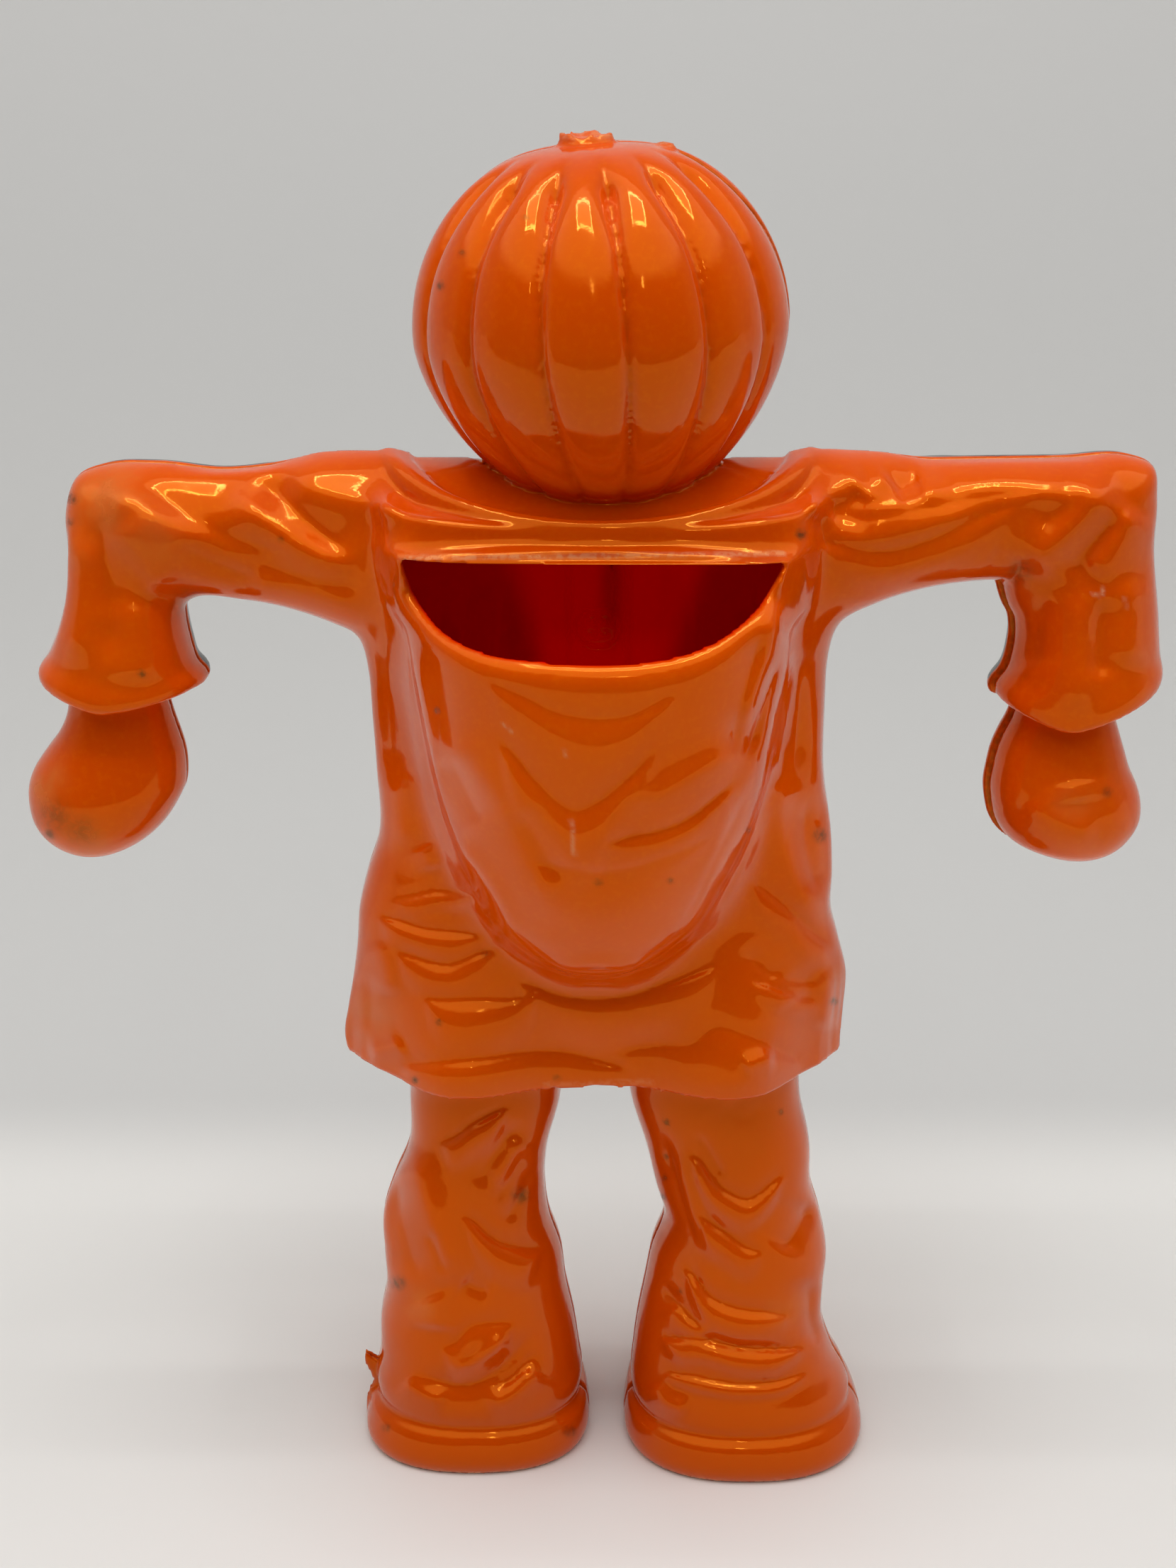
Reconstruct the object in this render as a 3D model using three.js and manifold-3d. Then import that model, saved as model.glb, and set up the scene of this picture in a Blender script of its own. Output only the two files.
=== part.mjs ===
// A hollow candy container in the shape of a pumpkin-headed scarecrow.
// It is moulded as two thin plastic halves, cemented rim to rim in one upright plane.
// The figure stands on its soles at Z = 0 and faces -Y, so its left hand is on +X.
// Every form is drawn about the plane of the rims at Y = 0, and the whole figure is then
// moved to bring its origin under the middle of its depth.
// The sack on its back is part of the back half, and its mouth is where the sweets go in.
import * as THREE from "three";
import { LoftGeometry } from "three/addons/geometries/LoftGeometry.js";
import { mergeVertices } from "three/addons/utils/BufferGeometryUtils.js";
import Module from "manifold-3d";

const wasm = await Module();
wasm.setup();

// Heights above the ground, mm
const SHOULDER_HEIGHT = 105;
const HEM_HEIGHT = 44.5;
const SACK_BOTTOM_HEIGHT = 57.5;
const MOUTH_TOP_HEIGHT = 98.5;
const MOUTH_LIP_HEIGHT = 91.5;

// Wall of both halves, mm
const WALL = 1.4;

// Pumpkin head, mm
const HEAD_RADIUS = 16.9;
const HEAD_SINK = 5;
const HEAD_RIBS = 14;
const RIB_GROOVE = 0.8;
const STEM_RADIUS = 2.3;
const STEM_HEIGHT = 0.7;
const FACE_DEPTH = 0.6;

// Collar round the neck, mm
const COLLAR_HALF_WIDTH = 20;
const COLLAR_DEPTH = 13;
const COLLAR_DROP = 4.1;
const NECK_HALF_WIDTH = 10;

// Coat, mm
const COAT_HALF_WIDTH = 25;
const COAT_BACK = 11;
const COAT_FRONT = 11;
const PLACKET_WIDTH = 5.4;
const PLACKET_RISE = 0.5;
const BUTTON_RADIUS = 2.1;
const BUTTON_RISE = 1.2;

// Sack on the back, mm
const SACK_HALF_WIDTH = 19.8;
const SACK_DEPTH = 22.2;
const YOKE_DEPTH = 12.4;

// Sleeves, cuffs and hands, mm
const FOREARM_DROP = 22;
const SLEEVE_DEPTH = 6.3;
const CUFF_DEPTH = 7;
const HAND_LENGTH = 17.6;
const HAND_HALF_WIDTH = 7.5;
const HAND_DEPTH = 6.6;

// Legs and boots, mm
const LEG_HALF_WIDTH = 10.4;
const LEG_DEPTH = 7.8;
const SOLE_THICKNESS = 5;
const WELT = 0.8;

// Folds of the sleeves. A point is [x as a share of the arm's reach, share of the forearm's drop].
const LEFT_SLEEVE_BACK = [
  { from: [0.94, 0.09], to: [0.7, 0.33], rise: 0.7 },
  { from: [0.86, 0.05], to: [0.56, 0.38], rise: -0.6 },
  { from: [0.69, 0.11], to: [0.46, 0.42], rise: 0.8 },
  { from: [0.62, 0.06], to: [0.45, 0.35], rise: -0.6 },
  { from: [0.97, 0.27], to: [1.01, 0.86], rise: 0.5 },
  { from: [0.9, 0.25], to: [0.81, 0.56], rise: 0.5 },
  { from: [0.88, 0.59], to: [0.87, 0.91], rise: 0.5 },
];
const LEFT_SLEEVE_FRONT = [
  { from: [0.92, 0.15], to: [0.64, 0.42], rise: 0.8 },
  { from: [0.64, 0.42], to: [0.48, 0.55], rise: 0.8 },
  { from: [0.86, 0.1], to: [0.58, 0.36], rise: -0.6 },
  { from: [0.58, 0.36], to: [0.46, 0.45], rise: -0.6 },
  { from: [0.95, 0.27], to: [0.94, 0.93], rise: 0.6 },
  { from: [0.85, 0.41], to: [0.83, 0.91], rise: 0.5 },
];
const RIGHT_SLEEVE_BACK = [
  { from: [0.44, 0.2], to: [0.62, 0.05], rise: 0.6 },
  { from: [0.6, 0.14], to: [0.93, 0.06], rise: 0.6 },
  { from: [0.42, 0.23], to: [0.71, 0.15], rise: -0.5 },
  { from: [0.41, 0.35], to: [0.71, 0.19], rise: -0.6 },
  { from: [0.44, 0.45], to: [0.69, 0.29], rise: 0.5 },
  { from: [0.79, 0.45], to: [0.95, 0.07], rise: 0.7 },
  { from: [0.87, 0.48], to: [0.88, 0.95], rise: 0.6 },
];
const RIGHT_SLEEVE_FRONT = [
  { from: [0.91, 0.15], to: [0.64, 0.37], rise: 0.8 },
  { from: [0.64, 0.37], to: [0.48, 0.5], rise: 0.8 },
  { from: [0.85, 0.09], to: [0.58, 0.3], rise: -0.6 },
  { from: [0.58, 0.3], to: [0.46, 0.36], rise: -0.6 },
  { from: [0.94, 0.27], to: [0.93, 0.93], rise: 0.6 },
  { from: [0.82, 0.36], to: [0.8, 0.91], rise: 0.5 },
];

// Folds of the trousers. A point is [share of the leg's half width outwards, height up to the hem].
const LEFT_LEG_BACK = [
  { from: [0.62, 0.85], to: [0.25, 0.47], rise: 0.7 },
  { from: [0.08, 0.64], to: [-0.54, 0.55], rise: -0.6 },
  { from: [0.06, 0.56], to: [-0.54, 0.47], rise: 0.6 },
  { from: [0.23, 0.35], to: [-0.19, 0.38], rise: -0.6 },
  { from: [0.31, 0.26], to: [-0.27, 0.35], rise: 0.8 },
  { from: [-0.02, 0.18], to: [-0.62, 0.27], rise: 0.6 },
];
const LEFT_LEG_FRONT = [
  { from: [0.48, 0.85], to: [0.04, 0.63], rise: 0.7 },
  { from: [0.04, 0.63], to: [-0.44, 0.61], rise: 0.7 },
  { from: [0.67, 0.49], to: [-0.19, 0.4], rise: 0.7 },
  { from: [-0.19, 0.4], to: [-0.6, 0.45], rise: 0.7 },
  { from: [0.77, 0.27], to: [-0.73, 0.27], rise: 0.6 },
];
const RIGHT_LEG_BACK = [
  { from: [-0.35, 0.85], to: [0.06, 0.74], rise: 0.6 },
  { from: [0.06, 0.74], to: [0.44, 0.84], rise: 0.6 },
  { from: [-0.37, 0.76], to: [0.12, 0.69], rise: -0.7 },
  { from: [0.12, 0.69], to: [0.4, 0.74], rise: -0.7 },
  { from: [-0.31, 0.7], to: [0.25, 0.63], rise: 0.6 },
  { from: [0.25, 0.63], to: [0.56, 0.76], rise: 0.6 },
  { from: [-0.62, 0.84], to: [-0.21, 0.54], rise: 0.6 },
  { from: [-0.25, 0.57], to: [0.54, 0.41], rise: 0.7 },
  { from: [-0.6, 0.37], to: [0.62, 0.36], rise: -0.7 },
  { from: [-0.63, 0.3], to: [0.73, 0.3], rise: 0.9 },
];
const RIGHT_LEG_FRONT = [
  { from: [-0.88, 0.81], to: [-0.21, 0.61], rise: 0.7 },
  { from: [-0.21, 0.61], to: [0.37, 0.62], rise: 0.7 },
  { from: [-0.65, 0.44], to: [0.27, 0.39], rise: 0.7 },
  { from: [0.27, 0.39], to: [0.71, 0.47], rise: 0.7 },
  { from: [-0.79, 0.27], to: [0.81, 0.27], rise: 0.6 },
];

// What differs from one side of the hand-cut mould to the other, mm
const SIDES = {
  left: {
    sign: 1,
    armReach: 50,
    wrist: 45.8,
    handLean: 3.2,
    cuffPoint: 0.4,
    leg: 12.6,
    foot: 12.8,
    footHalfWidth: 11.8,
    heel: 9.6,
    toe: 15,
    sleeveFolds: { back: LEFT_SLEEVE_BACK, front: LEFT_SLEEVE_FRONT },
    legFolds: { back: LEFT_LEG_BACK, front: LEFT_LEG_FRONT },
  },
  right: {
    sign: -1,
    armReach: 51.8,
    wrist: 44.1,
    handLean: 2.1,
    cuffPoint: 2.6,
    leg: 14.2,
    foot: 15.5,
    footHalfWidth: 12.5,
    heel: 11.1,
    toe: 16,
    sleeveFolds: { back: RIGHT_SLEEVE_BACK, front: RIGHT_SLEEVE_FRONT },
    legFolds: { back: RIGHT_LEG_BACK, front: RIGHT_LEG_FRONT },
  },
};

// Counts of facets round each form. The hollow inside has half as many.
const COAT_POINTS = 56;
const LIMB_POINTS = 24;

// Greatest step between the sections of a form, mm
const ROW_STEP = 3.2;

// Places that follow from the sizes above
const HEAD_HEIGHT = SHOULDER_HEIGHT + HEAD_RADIUS - HEAD_SINK;
const COAT_HEIGHT = SHOULDER_HEIGHT - HEM_HEIGHT;
const SACK_HEIGHT = MOUTH_TOP_HEIGHT - SACK_BOTTOM_HEIGHT;
const CUFF_HEIGHT = SHOULDER_HEIGHT - FOREARM_DROP;
const FAR = 4 * SHOULDER_HEIGHT;

// A closed mesh as a manifold-3d solid that faces outwards, without its collapsed triangles
function solidOf(geometry) {
  const plain = geometry.index ? geometry.toNonIndexed() : geometry.clone();
  plain.deleteAttribute("normal");
  plain.deleteAttribute("uv");
  const merged = mergeVertices(plain, 1e-4);
  const corners = merged.index.array;
  const outward = [];
  const inward = [];
  for (let i = 0; i < corners.length; i += 3) {
    const [a, b, c] = corners.slice(i, i + 3);
    if (a === b || b === c || c === a) continue;
    outward.push(a, b, c);
    inward.push(a, c, b);
  }
  const build = (triangles) =>
    new wasm.Manifold(
      new wasm.Mesh({
        numProp: 3,
        vertProperties: merged.attributes.position.array,
        triVerts: new Uint32Array(triangles),
      }),
    );
  const solid = build(outward);
  return solid.volume() > 0 ? solid : build(inward);
}

// A manifold-3d solid as a mesh with its own material
function meshOf(name, solid, material) {
  const { vertProperties, triVerts } = solid.getMesh();
  const geometry = new THREE.BufferGeometry();
  geometry.setAttribute("position", new THREE.BufferAttribute(vertProperties, 3));
  geometry.setIndex(new THREE.BufferAttribute(triVerts, 1));
  geometry.computeVertexNormals();
  const mesh = new THREE.Mesh(geometry, material);
  mesh.name = name;
  return mesh;
}

const join = (solids) => solids.reduce((all, solid) => all.add(solid));

// The rounded-square wave that a superellipse follows in place of a cosine or a sine
const wave = (value, squareness) => Math.sign(value) * Math.abs(value) ** (2 / squareness);

// One section of a form. It crosses the seam plane at the points a and b, each [x, z],
// and stands `back` behind that plane and `front` before it.
function ring({ a, b, back, front, squareness = 2.3, lobes = 0, fold }, count) {
  const points = [];
  const middle = [(a[0] + b[0]) / 2, (a[1] + b[1]) / 2];
  const half = [(a[0] - b[0]) / 2, (a[1] - b[1]) / 2];
  for (let i = 0; i < count; i++) {
    const angle = (i / count) * 2 * Math.PI;
    const along = wave(Math.cos(angle), squareness);
    const across = wave(Math.sin(angle), squareness);
    const dip = 1 - lobes * Math.exp(-((along / 0.3) ** 2));
    const point = new THREE.Vector3(
      middle[0] + half[0] * along,
      across * (across > 0 ? back : front) * dip,
      middle[1] + half[1] * along,
    );
    const press = across > 0 ? fold?.back : fold?.front;
    if (press) point.y += press(point.x, point.z) * across;
    points.push(point);
  }
  return points;
}

// The same section, drawn in by the wall all round
function inset(section, wall) {
  const [ax, az] = section.a;
  const [bx, bz] = section.b;
  const length = Math.hypot(ax - bx, az - bz);
  const step = [((ax - bx) / length) * wall, ((az - bz) / length) * wall];
  return {
    ...section,
    a: [ax - step[0], az - step[1]],
    b: [bx + step[0], bz + step[1]],
    back: section.back - wall,
    front: section.front - wall,
  };
}

// A closed form skinned over its rings. Each end is a fan round the middle of its ring.
function skinOver(rings) {
  const pole = (points) => {
    const centre = new THREE.Vector3();
    points.forEach((point) => centre.add(point));
    centre.divideScalar(points.length);
    return points.map(() => centre);
  };
  return solidOf(new LoftGeometry([pole(rings[0]), ...rings, pole(rings.at(-1))]));
}

// The same sections with more of them set evenly between, so that none are further apart than `step`
function refine(sections, step) {
  const mix = (a, b, t) => (Array.isArray(a) ? a.map((v, i) => mix(v, b[i], t)) : typeof a === "number" ? a + (b - a) * t : a);
  const out = [sections[0]];
  for (let i = 1; i < sections.length; i++) {
    const [before, after] = [sections[i - 1], sections[i]];
    const length = Math.hypot(
      (after.a[0] + after.b[0] - before.a[0] - before.b[0]) / 2,
      (after.a[1] + after.b[1] - before.a[1] - before.b[1]) / 2,
    );
    const count = Math.max(1, Math.round(length / step));
    for (let j = 1; j <= count; j++) {
      const keys = Object.keys(after).map((key) => [key, mix(before[key], after[key], j / count)]);
      out.push(Object.fromEntries(keys));
    }
  }
  return out;
}

// A form skinned over its sections. For a hollow, `wall` draws each section in,
// and `raise` and `lower` shift its first and last section along Z.
function loft(coarse, count, wall = 0, raise = 0, lower = 0) {
  const sections = refine(coarse, wall > 0 ? 2 * ROW_STEP : ROW_STEP);
  const last = sections.length - 1;
  const rings = sections.map((section, i) => {
    const points = ring(inset(section, wall), wall > 0 ? count / 2 : count);
    const shift = i === 0 ? raise : i === last ? -lower : 0;
    points.forEach((point) => (point.z += shift));
    return points;
  });
  return skinOver(rings);
}

// Pumpkin head: a ball of ribs that lean a little, as far out as `radius`.
// Every fourth point round it lies in a groove, and the hollow has half as many points.
function head(radius, pointsPerRib = 4) {
  const tilt = THREE.MathUtils.degToRad(4);
  const firstGroove = THREE.MathUtils.degToRad(7.6);
  const count = HEAD_RIBS * pointsPerRib;
  const rows = 3 * pointsPerRib;
  const poleAngle = Math.asin(STEM_RADIUS / HEAD_RADIUS) * 0.8;
  const rings = [];
  for (let row = 0; row <= rows; row++) {
    const polar = poleAngle + (row / rows) * (Math.PI - 2 * poleAngle);
    const points = [];
    for (let i = 0; i < count; i++) {
      const turn = firstGroove + (i / count) * 2 * Math.PI;
      const depth = i % pointsPerRib === 0 ? RIB_GROOVE * Math.sin(polar) : 0;
      const reach = (radius - depth) * Math.sin(polar);
      const point = new THREE.Vector3(-reach * Math.sin(turn), reach * Math.cos(turn), 0);
      point.z = radius * Math.cos(polar);
      points.push(point);
    }
    rings.push(points);
  }
  const lean = new THREE.Vector3(0, 1, 0);
  rings.flat().forEach((point) => {
    point.applyAxisAngle(lean, tilt);
    point.z += HEAD_HEIGHT;
  });
  return skinOver(rings);
}

// Broken stem on the crown
function stem() {
  const buried = RIB_GROOVE + WALL / 2;
  const stub = new THREE.CylinderGeometry(STEM_RADIUS * 0.85, STEM_RADIUS, STEM_HEIGHT + buried, 9);
  stub.rotateX(Math.PI / 2);
  stub.translate(STEM_RADIUS / 2, 0, HEAD_HEIGHT + HEAD_RADIUS + (STEM_HEIGHT - buried) / 2);
  return solidOf(stub);
}

// Dished collar that the head sits in. Its rim drops from the shoulders to the nape.
function collar(wall = 0) {
  const rows = [
    { width: 0.8, depth: 0.72, height: -0.09 },
    { width: 0.93, depth: 0.9, height: -0.035 },
    { width: 0.99, depth: 0.99, height: -0.012 },
    { width: 1, depth: 1, height: 0 },
    { width: 0.86, depth: 0.84, height: 0.002 },
    { width: 0.64, depth: 0.6, height: 0.009 },
    { width: 0.3, depth: 0.3, height: 0.009 },
  ];
  const count = wall > 0 ? COAT_POINTS / 2 : COAT_POINTS;
  const rings = rows.map(({ width, depth, height }) => {
    const points = [];
    for (let i = 0; i < count; i++) {
      const angle = (i / count) * 2 * Math.PI;
      const drop = COLLAR_DROP * Math.sin(angle) ** 2;
      points.push(
        new THREE.Vector3(
          (COLLAR_HALF_WIDTH - wall) * width * Math.cos(angle),
          (COLLAR_DEPTH - wall) * depth * Math.sin(angle),
          SHOULDER_HEIGHT * (1 + height) - drop - wall,
        ),
      );
    }
    return points;
  });
  return skinOver(rings);
}

// Folds moulded in the cloth. Each is a ridge between two points, or a valley where its rise is
// negative, with its rise in mm. On the coat and the sack a point is [x as a share of the coat's
// half width, height up the coat].
const COAT_BACK_FOLDS = [
  { from: [0.68, 0.18], to: [0.3, 0.19], rise: -0.6 },
  { from: [0.68, 0.13], to: [0.3, 0.15], rise: 0.6 },
  { from: [0.3, 0.2], to: [0, 0.17], rise: -0.7 },
  { from: [0, 0.17], to: [-0.44, 0.23], rise: -0.7 },
  { from: [0.28, 0.16], to: [0, 0.12], rise: 0.6 },
  { from: [0, 0.12], to: [-0.48, 0.19], rise: 0.6 },
  { from: [0.8, 0.07], to: [0.04, 0.08], rise: -0.6 },
  { from: [0.76, 0.03], to: [0.16, 0.04], rise: 0.5 },
  { from: [-0.08, 0.09], to: [-0.52, 0.12], rise: -0.6 },
  { from: [-0.52, 0.12], to: [-0.82, 0.07], rise: -0.6 },
  { from: [-0.16, 0.05], to: [-0.78, 0.04], rise: 0.6 },
  { from: [0.86, 0.36], to: [0.52, 0.33], rise: -0.5 },
  { from: [0.86, 0.32], to: [0.48, 0.29], rise: 0.5 },
  { from: [0.88, 0.26], to: [0.44, 0.23], rise: 0.5 },
  { from: [-0.78, 0.55], to: [-0.72, 0.44], rise: 0.6 },
  { from: [-0.72, 0.44], to: [-0.88, 0.27], rise: 0.6 },
  { from: [-0.82, 0.5], to: [-0.8, 0.44], rise: -0.5 },
  { from: [-0.8, 0.44], to: [-0.88, 0.32], rise: -0.5 },
  { from: [-0.6, 0.39], to: [-0.9, 0.24], rise: 0.5 },
];
const COAT_FRONT_FOLDS = [
  { from: [0.32, 0.85], to: [0.38, 0.45], rise: 0.7 },
  { from: [0.38, 0.45], to: [0.48, 0.06], rise: 0.7 },
  { from: [0.5, 0.79], to: [0.52, 0.39], rise: -0.6 },
  { from: [0.52, 0.39], to: [0.6, 0.19], rise: -0.6 },
  { from: [0.68, 0.79], to: [0.69, 0.39], rise: 0.7 },
  { from: [0.69, 0.39], to: [0.76, 0.04], rise: 0.7 },
  { from: [-0.32, 0.85], to: [-0.36, 0.49], rise: 0.7 },
  { from: [-0.36, 0.49], to: [-0.5, 0.06], rise: 0.7 },
  { from: [-0.48, 0.82], to: [-0.5, 0.42], rise: -0.6 },
  { from: [-0.5, 0.42], to: [-0.58, 0.22], rise: -0.6 },
  { from: [-0.67, 0.79], to: [-0.69, 0.36], rise: 0.7 },
  { from: [-0.69, 0.36], to: [-0.76, 0.04], rise: 0.7 },
];
const SACK_FOLDS = [
  { from: [0.4, 0.77], to: [0, 0.72], rise: -0.45 },
  { from: [0, 0.72], to: [-0.34, 0.77], rise: -0.45 },
  { from: [0.36, 0.7], to: [0.04, 0.65], rise: 0.5 },
  { from: [0.04, 0.65], to: [-0.26, 0.7], rise: 0.5 },
  { from: [0.36, 0.65], to: [0.08, 0.56], rise: -0.5 },
  { from: [0.08, 0.56], to: [-0.28, 0.65], rise: -0.5 },
  { from: [0.68, 0.65], to: [0.39, 0.57], rise: 0.6 },
  { from: [0.39, 0.57], to: [0.2, 0.36], rise: 0.6 },
  { from: [-0.08, 0.55], to: [-0.52, 0.63], rise: 0.5 },
  { from: [-0.06, 0.51], to: [-0.48, 0.56], rise: -0.55 },
  { from: [0.2, 0.4], to: [-0.4, 0.45], rise: 0.5 },
];
const FOLD_WIDTH = 1.9;

// A fold's points are shares of `unit`, counted from `origin`, both [x, z] in mm
function foldOf(folds, origin, unit) {
  return (x, z) => {
    let rise = 0;
    for (const { from, to, rise: top } of folds) {
      const start = [origin[0] + from[0] * unit[0], origin[1] + from[1] * unit[1]];
      const run = [(to[0] - from[0]) * unit[0], (to[1] - from[1]) * unit[1]];
      const share = ((x - start[0]) * run[0] + (z - start[1]) * run[1]) / (run[0] ** 2 + run[1] ** 2);
      const near = THREE.MathUtils.clamp(share, 0, 1);
      const gap = Math.hypot(x - start[0] - near * run[0], z - start[1] - near * run[1]);
      rise += top * Math.exp(-((gap / FOLD_WIDTH) ** 2));
    }
    return THREE.MathUtils.clamp(rise, -WALL / 2, WALL * 0.7);
  };
}

const coatFold = (folds) => foldOf(folds, [0, HEM_HEIGHT], [COAT_HALF_WIDTH, COAT_HEIGHT]);

// Coat from its hem to the shoulders
function coat(wall = 0) {
  const rows = [
    { up: 0, left: 1.01, right: 0.97, back: 1, front: 1.06, lobes: 0.32 },
    { up: 0.03, left: 1.02, right: 0.975, back: 1, front: 1.06, lobes: 0.28 },
    { up: 0.09, left: 1, right: 0.98, back: 0.97, front: 1.04, lobes: 0.2 },
    { up: 0.15, left: 0.97, right: 0.985, back: 0.95, front: 1.02, lobes: 0.1 },
    { up: 0.21, left: 0.95, right: 0.945, back: 0.92, front: 1, lobes: 0 },
    { up: 0.27, left: 0.935, right: 0.91, back: 0.9, front: 0.98, lobes: 0 },
    { up: 0.38, left: 0.86, right: 0.905, back: 0.87, front: 0.95, lobes: 0 },
    { up: 0.5, left: 0.856, right: 0.865, back: 0.85, front: 0.95, lobes: 0 },
    { up: 0.64, left: 0.868, right: 0.865, back: 0.88, front: 0.97, lobes: 0 },
    { up: 0.73, left: 0.9, right: 0.87, back: 0.95, front: 1, lobes: 0 },
    { up: 0.86, left: 0.85, right: 0.85, back: 1, front: 0.97, lobes: 0 },
    { up: 0.945, left: 0.78, right: 0.78, back: 0.95, front: 0.85, lobes: 0 },
    { up: 0.985, left: 0.7, right: 0.7, back: 0.75, front: 0.6, lobes: 0 },
  ];
  const sections = rows.map(({ up, left, right, back, front, lobes }) => ({
    a: [left * COAT_HALF_WIDTH, HEM_HEIGHT + up * COAT_HEIGHT],
    b: [-right * COAT_HALF_WIDTH, HEM_HEIGHT + up * COAT_HEIGHT],
    back: back * COAT_BACK,
    front: front * COAT_FRONT,
    squareness: 2.6,
    lobes,
    fold: { back: coatFold(COAT_BACK_FOLDS), front: coatFold(COAT_FRONT_FOLDS) },
  }));
  return loft(sections, COAT_POINTS, wall, wall, wall);
}

// Yoke: the flat band of the coat between the collar and the mouth of the sack
function yoke(wall = 0) {
  const rows = [
    { height: MOUTH_TOP_HEIGHT - 2 * WALL, shrink: 0 },
    { height: SHOULDER_HEIGHT - COLLAR_DROP - 1.2 * WALL, shrink: 0 },
    { height: SHOULDER_HEIGHT - COLLAR_DROP - WALL / 4, shrink: WALL / 2 },
  ];
  const sections = rows.map(({ height, shrink }) => ({
    a: [SACK_HALF_WIDTH - shrink, height],
    b: [shrink - SACK_HALF_WIDTH, height],
    back: YOKE_DEPTH - shrink,
    front: COAT_FRONT * 0.6 - shrink,
    squareness: 5,
  }));
  return loft(sections, COAT_POINTS, wall, -wall, wall / 2);
}

// Sack on the back, from its bottom to the line of its mouth
function sack(wall = 0) {
  const rows = [
    { up: 0, width: 0.3, depth: 0.5 },
    { up: 0.04, width: 0.46, depth: 0.62 },
    { up: 0.11, width: 0.64, depth: 0.72 },
    { up: 0.23, width: 0.75, depth: 0.81 },
    { up: 0.35, width: 0.81, depth: 0.87 },
    { up: 0.45, width: 0.84, depth: 0.91 },
    { up: 0.56, width: 0.88, depth: 0.94 },
    { up: 0.72, width: 0.93, depth: 0.98 },
    { up: 0.88, width: 0.98, depth: 1 },
    { up: 1, width: 1, depth: 1 },
  ];
  const sections = rows.map(({ up, width, depth }) => ({
    a: [width * SACK_HALF_WIDTH, SACK_BOTTOM_HEIGHT + up * SACK_HEIGHT],
    b: [-width * SACK_HALF_WIDTH, SACK_BOTTOM_HEIGHT + up * SACK_HEIGHT],
    back: depth * SACK_DEPTH,
    front: 2 * WALL,
    squareness: 2.5,
    fold: { back: coatFold(SACK_FOLDS) },
  }));
  return loft(sections, COAT_POINTS, wall, wall, wall);
}

// Mouth of the sack: everything behind the yoke between its lower edge and the dipped lip
function mouth() {
  const half = SACK_HALF_WIDTH - WALL;
  const rise = MOUTH_TOP_HEIGHT - MOUTH_LIP_HEIGHT;
  const lip = [
    [1, 1],
    [0.94, 0.56],
    [0.83, 0.23],
    [0.67, 0.1],
    [0.3, 0.02],
    [0, 0],
  ];
  const leftHalf = lip.map(([x, up]) => new THREE.Vector2(x * half, MOUTH_LIP_HEIGHT + up * rise));
  const rightHalf = leftHalf.slice(0, -1).reverse();
  const outline = [...leftHalf, ...rightHalf.map(({ x, y }) => new THREE.Vector2(-x, y))];
  const cutter = new THREE.ExtrudeGeometry(new THREE.Shape(outline), {
    depth: FAR,
    bevelEnabled: false,
  });
  cutter.rotateX(Math.PI / 2);
  cutter.translate(0, FAR + YOKE_DEPTH / 2, 0);
  return solidOf(cutter);
}

// Sleeve and cuff as one bent form, from inside the shoulder to the cuff's hem
function arm({ sign, armReach, cuffPoint, sleeveFolds }, wall = 0) {
  const sleeveFold = (folds) => foldOf(folds, [0, SHOULDER_HEIGHT], [sign * armReach, -FOREARM_DROP]);
  const rows = [
    { outer: [0.24, 0.06], inner: [0.32, 1.1], depth: 1.2 },
    { outer: [0.41, 0.01], inner: [0.45, 0.75], depth: 1.15 },
    { outer: [0.54, 0.02], inner: [0.55, 0.66], depth: 1.05 },
    { outer: [0.68, 0.03], inner: [0.66, 0.59], depth: 1 },
    { outer: [0.83, 0.02], inner: [0.735, 0.56], depth: 0.97 },
    { outer: [0.955, 0.05], inner: [0.765, 0.6], depth: 0.9 },
    { outer: [0.988, 0.2], inner: [0.77, 0.67], depth: 0.92 },
    { outer: [0.995, 0.5], inner: [0.765, 0.75], depth: 0.98 },
    { outer: [1.017, 0.77], inner: [0.75, 0.86], depth: 1.03 },
    { outer: [1.042, 1], inner: [0.733, 1], depth: 1.1 },
  ];
  const coarse = rows.map(({ outer, inner, depth }, i) => ({
    a: [sign * outer[0] * armReach, SHOULDER_HEIGHT - outer[1] * FOREARM_DROP],
    b: [sign * inner[0] * armReach, SHOULDER_HEIGHT - inner[1] * FOREARM_DROP],
    back: depth * (i < rows.length - 1 ? SLEEVE_DEPTH : CUFF_DEPTH),
    front: depth * (i < rows.length - 1 ? SLEEVE_DEPTH : CUFF_DEPTH),
    squareness: 2.2,
    fold: { back: sleeveFold(sleeveFolds.back), front: sleeveFold(sleeveFolds.front) },
  }));
  const sections = refine(coarse, wall > 0 ? 2 * ROW_STEP : ROW_STEP);
  const last = sections.length - 1;
  const rings = sections.map((section, i) => {
    const points = ring(inset(section, wall), wall > 0 ? LIMB_POINTS / 2 : LIMB_POINTS);
    if (i !== last) return points;
    return points.map(({ x, y, z }) => {
      const side = Math.abs(x - (section.a[0] + section.b[0]) / 2) / Math.abs(section.a[0] - section.b[0]);
      return new THREE.Vector3(x, y, z + wall - cuffPoint * Math.max(0, 1 - 2 * side));
    });
  });
  return skinOver(rings);
}

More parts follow.
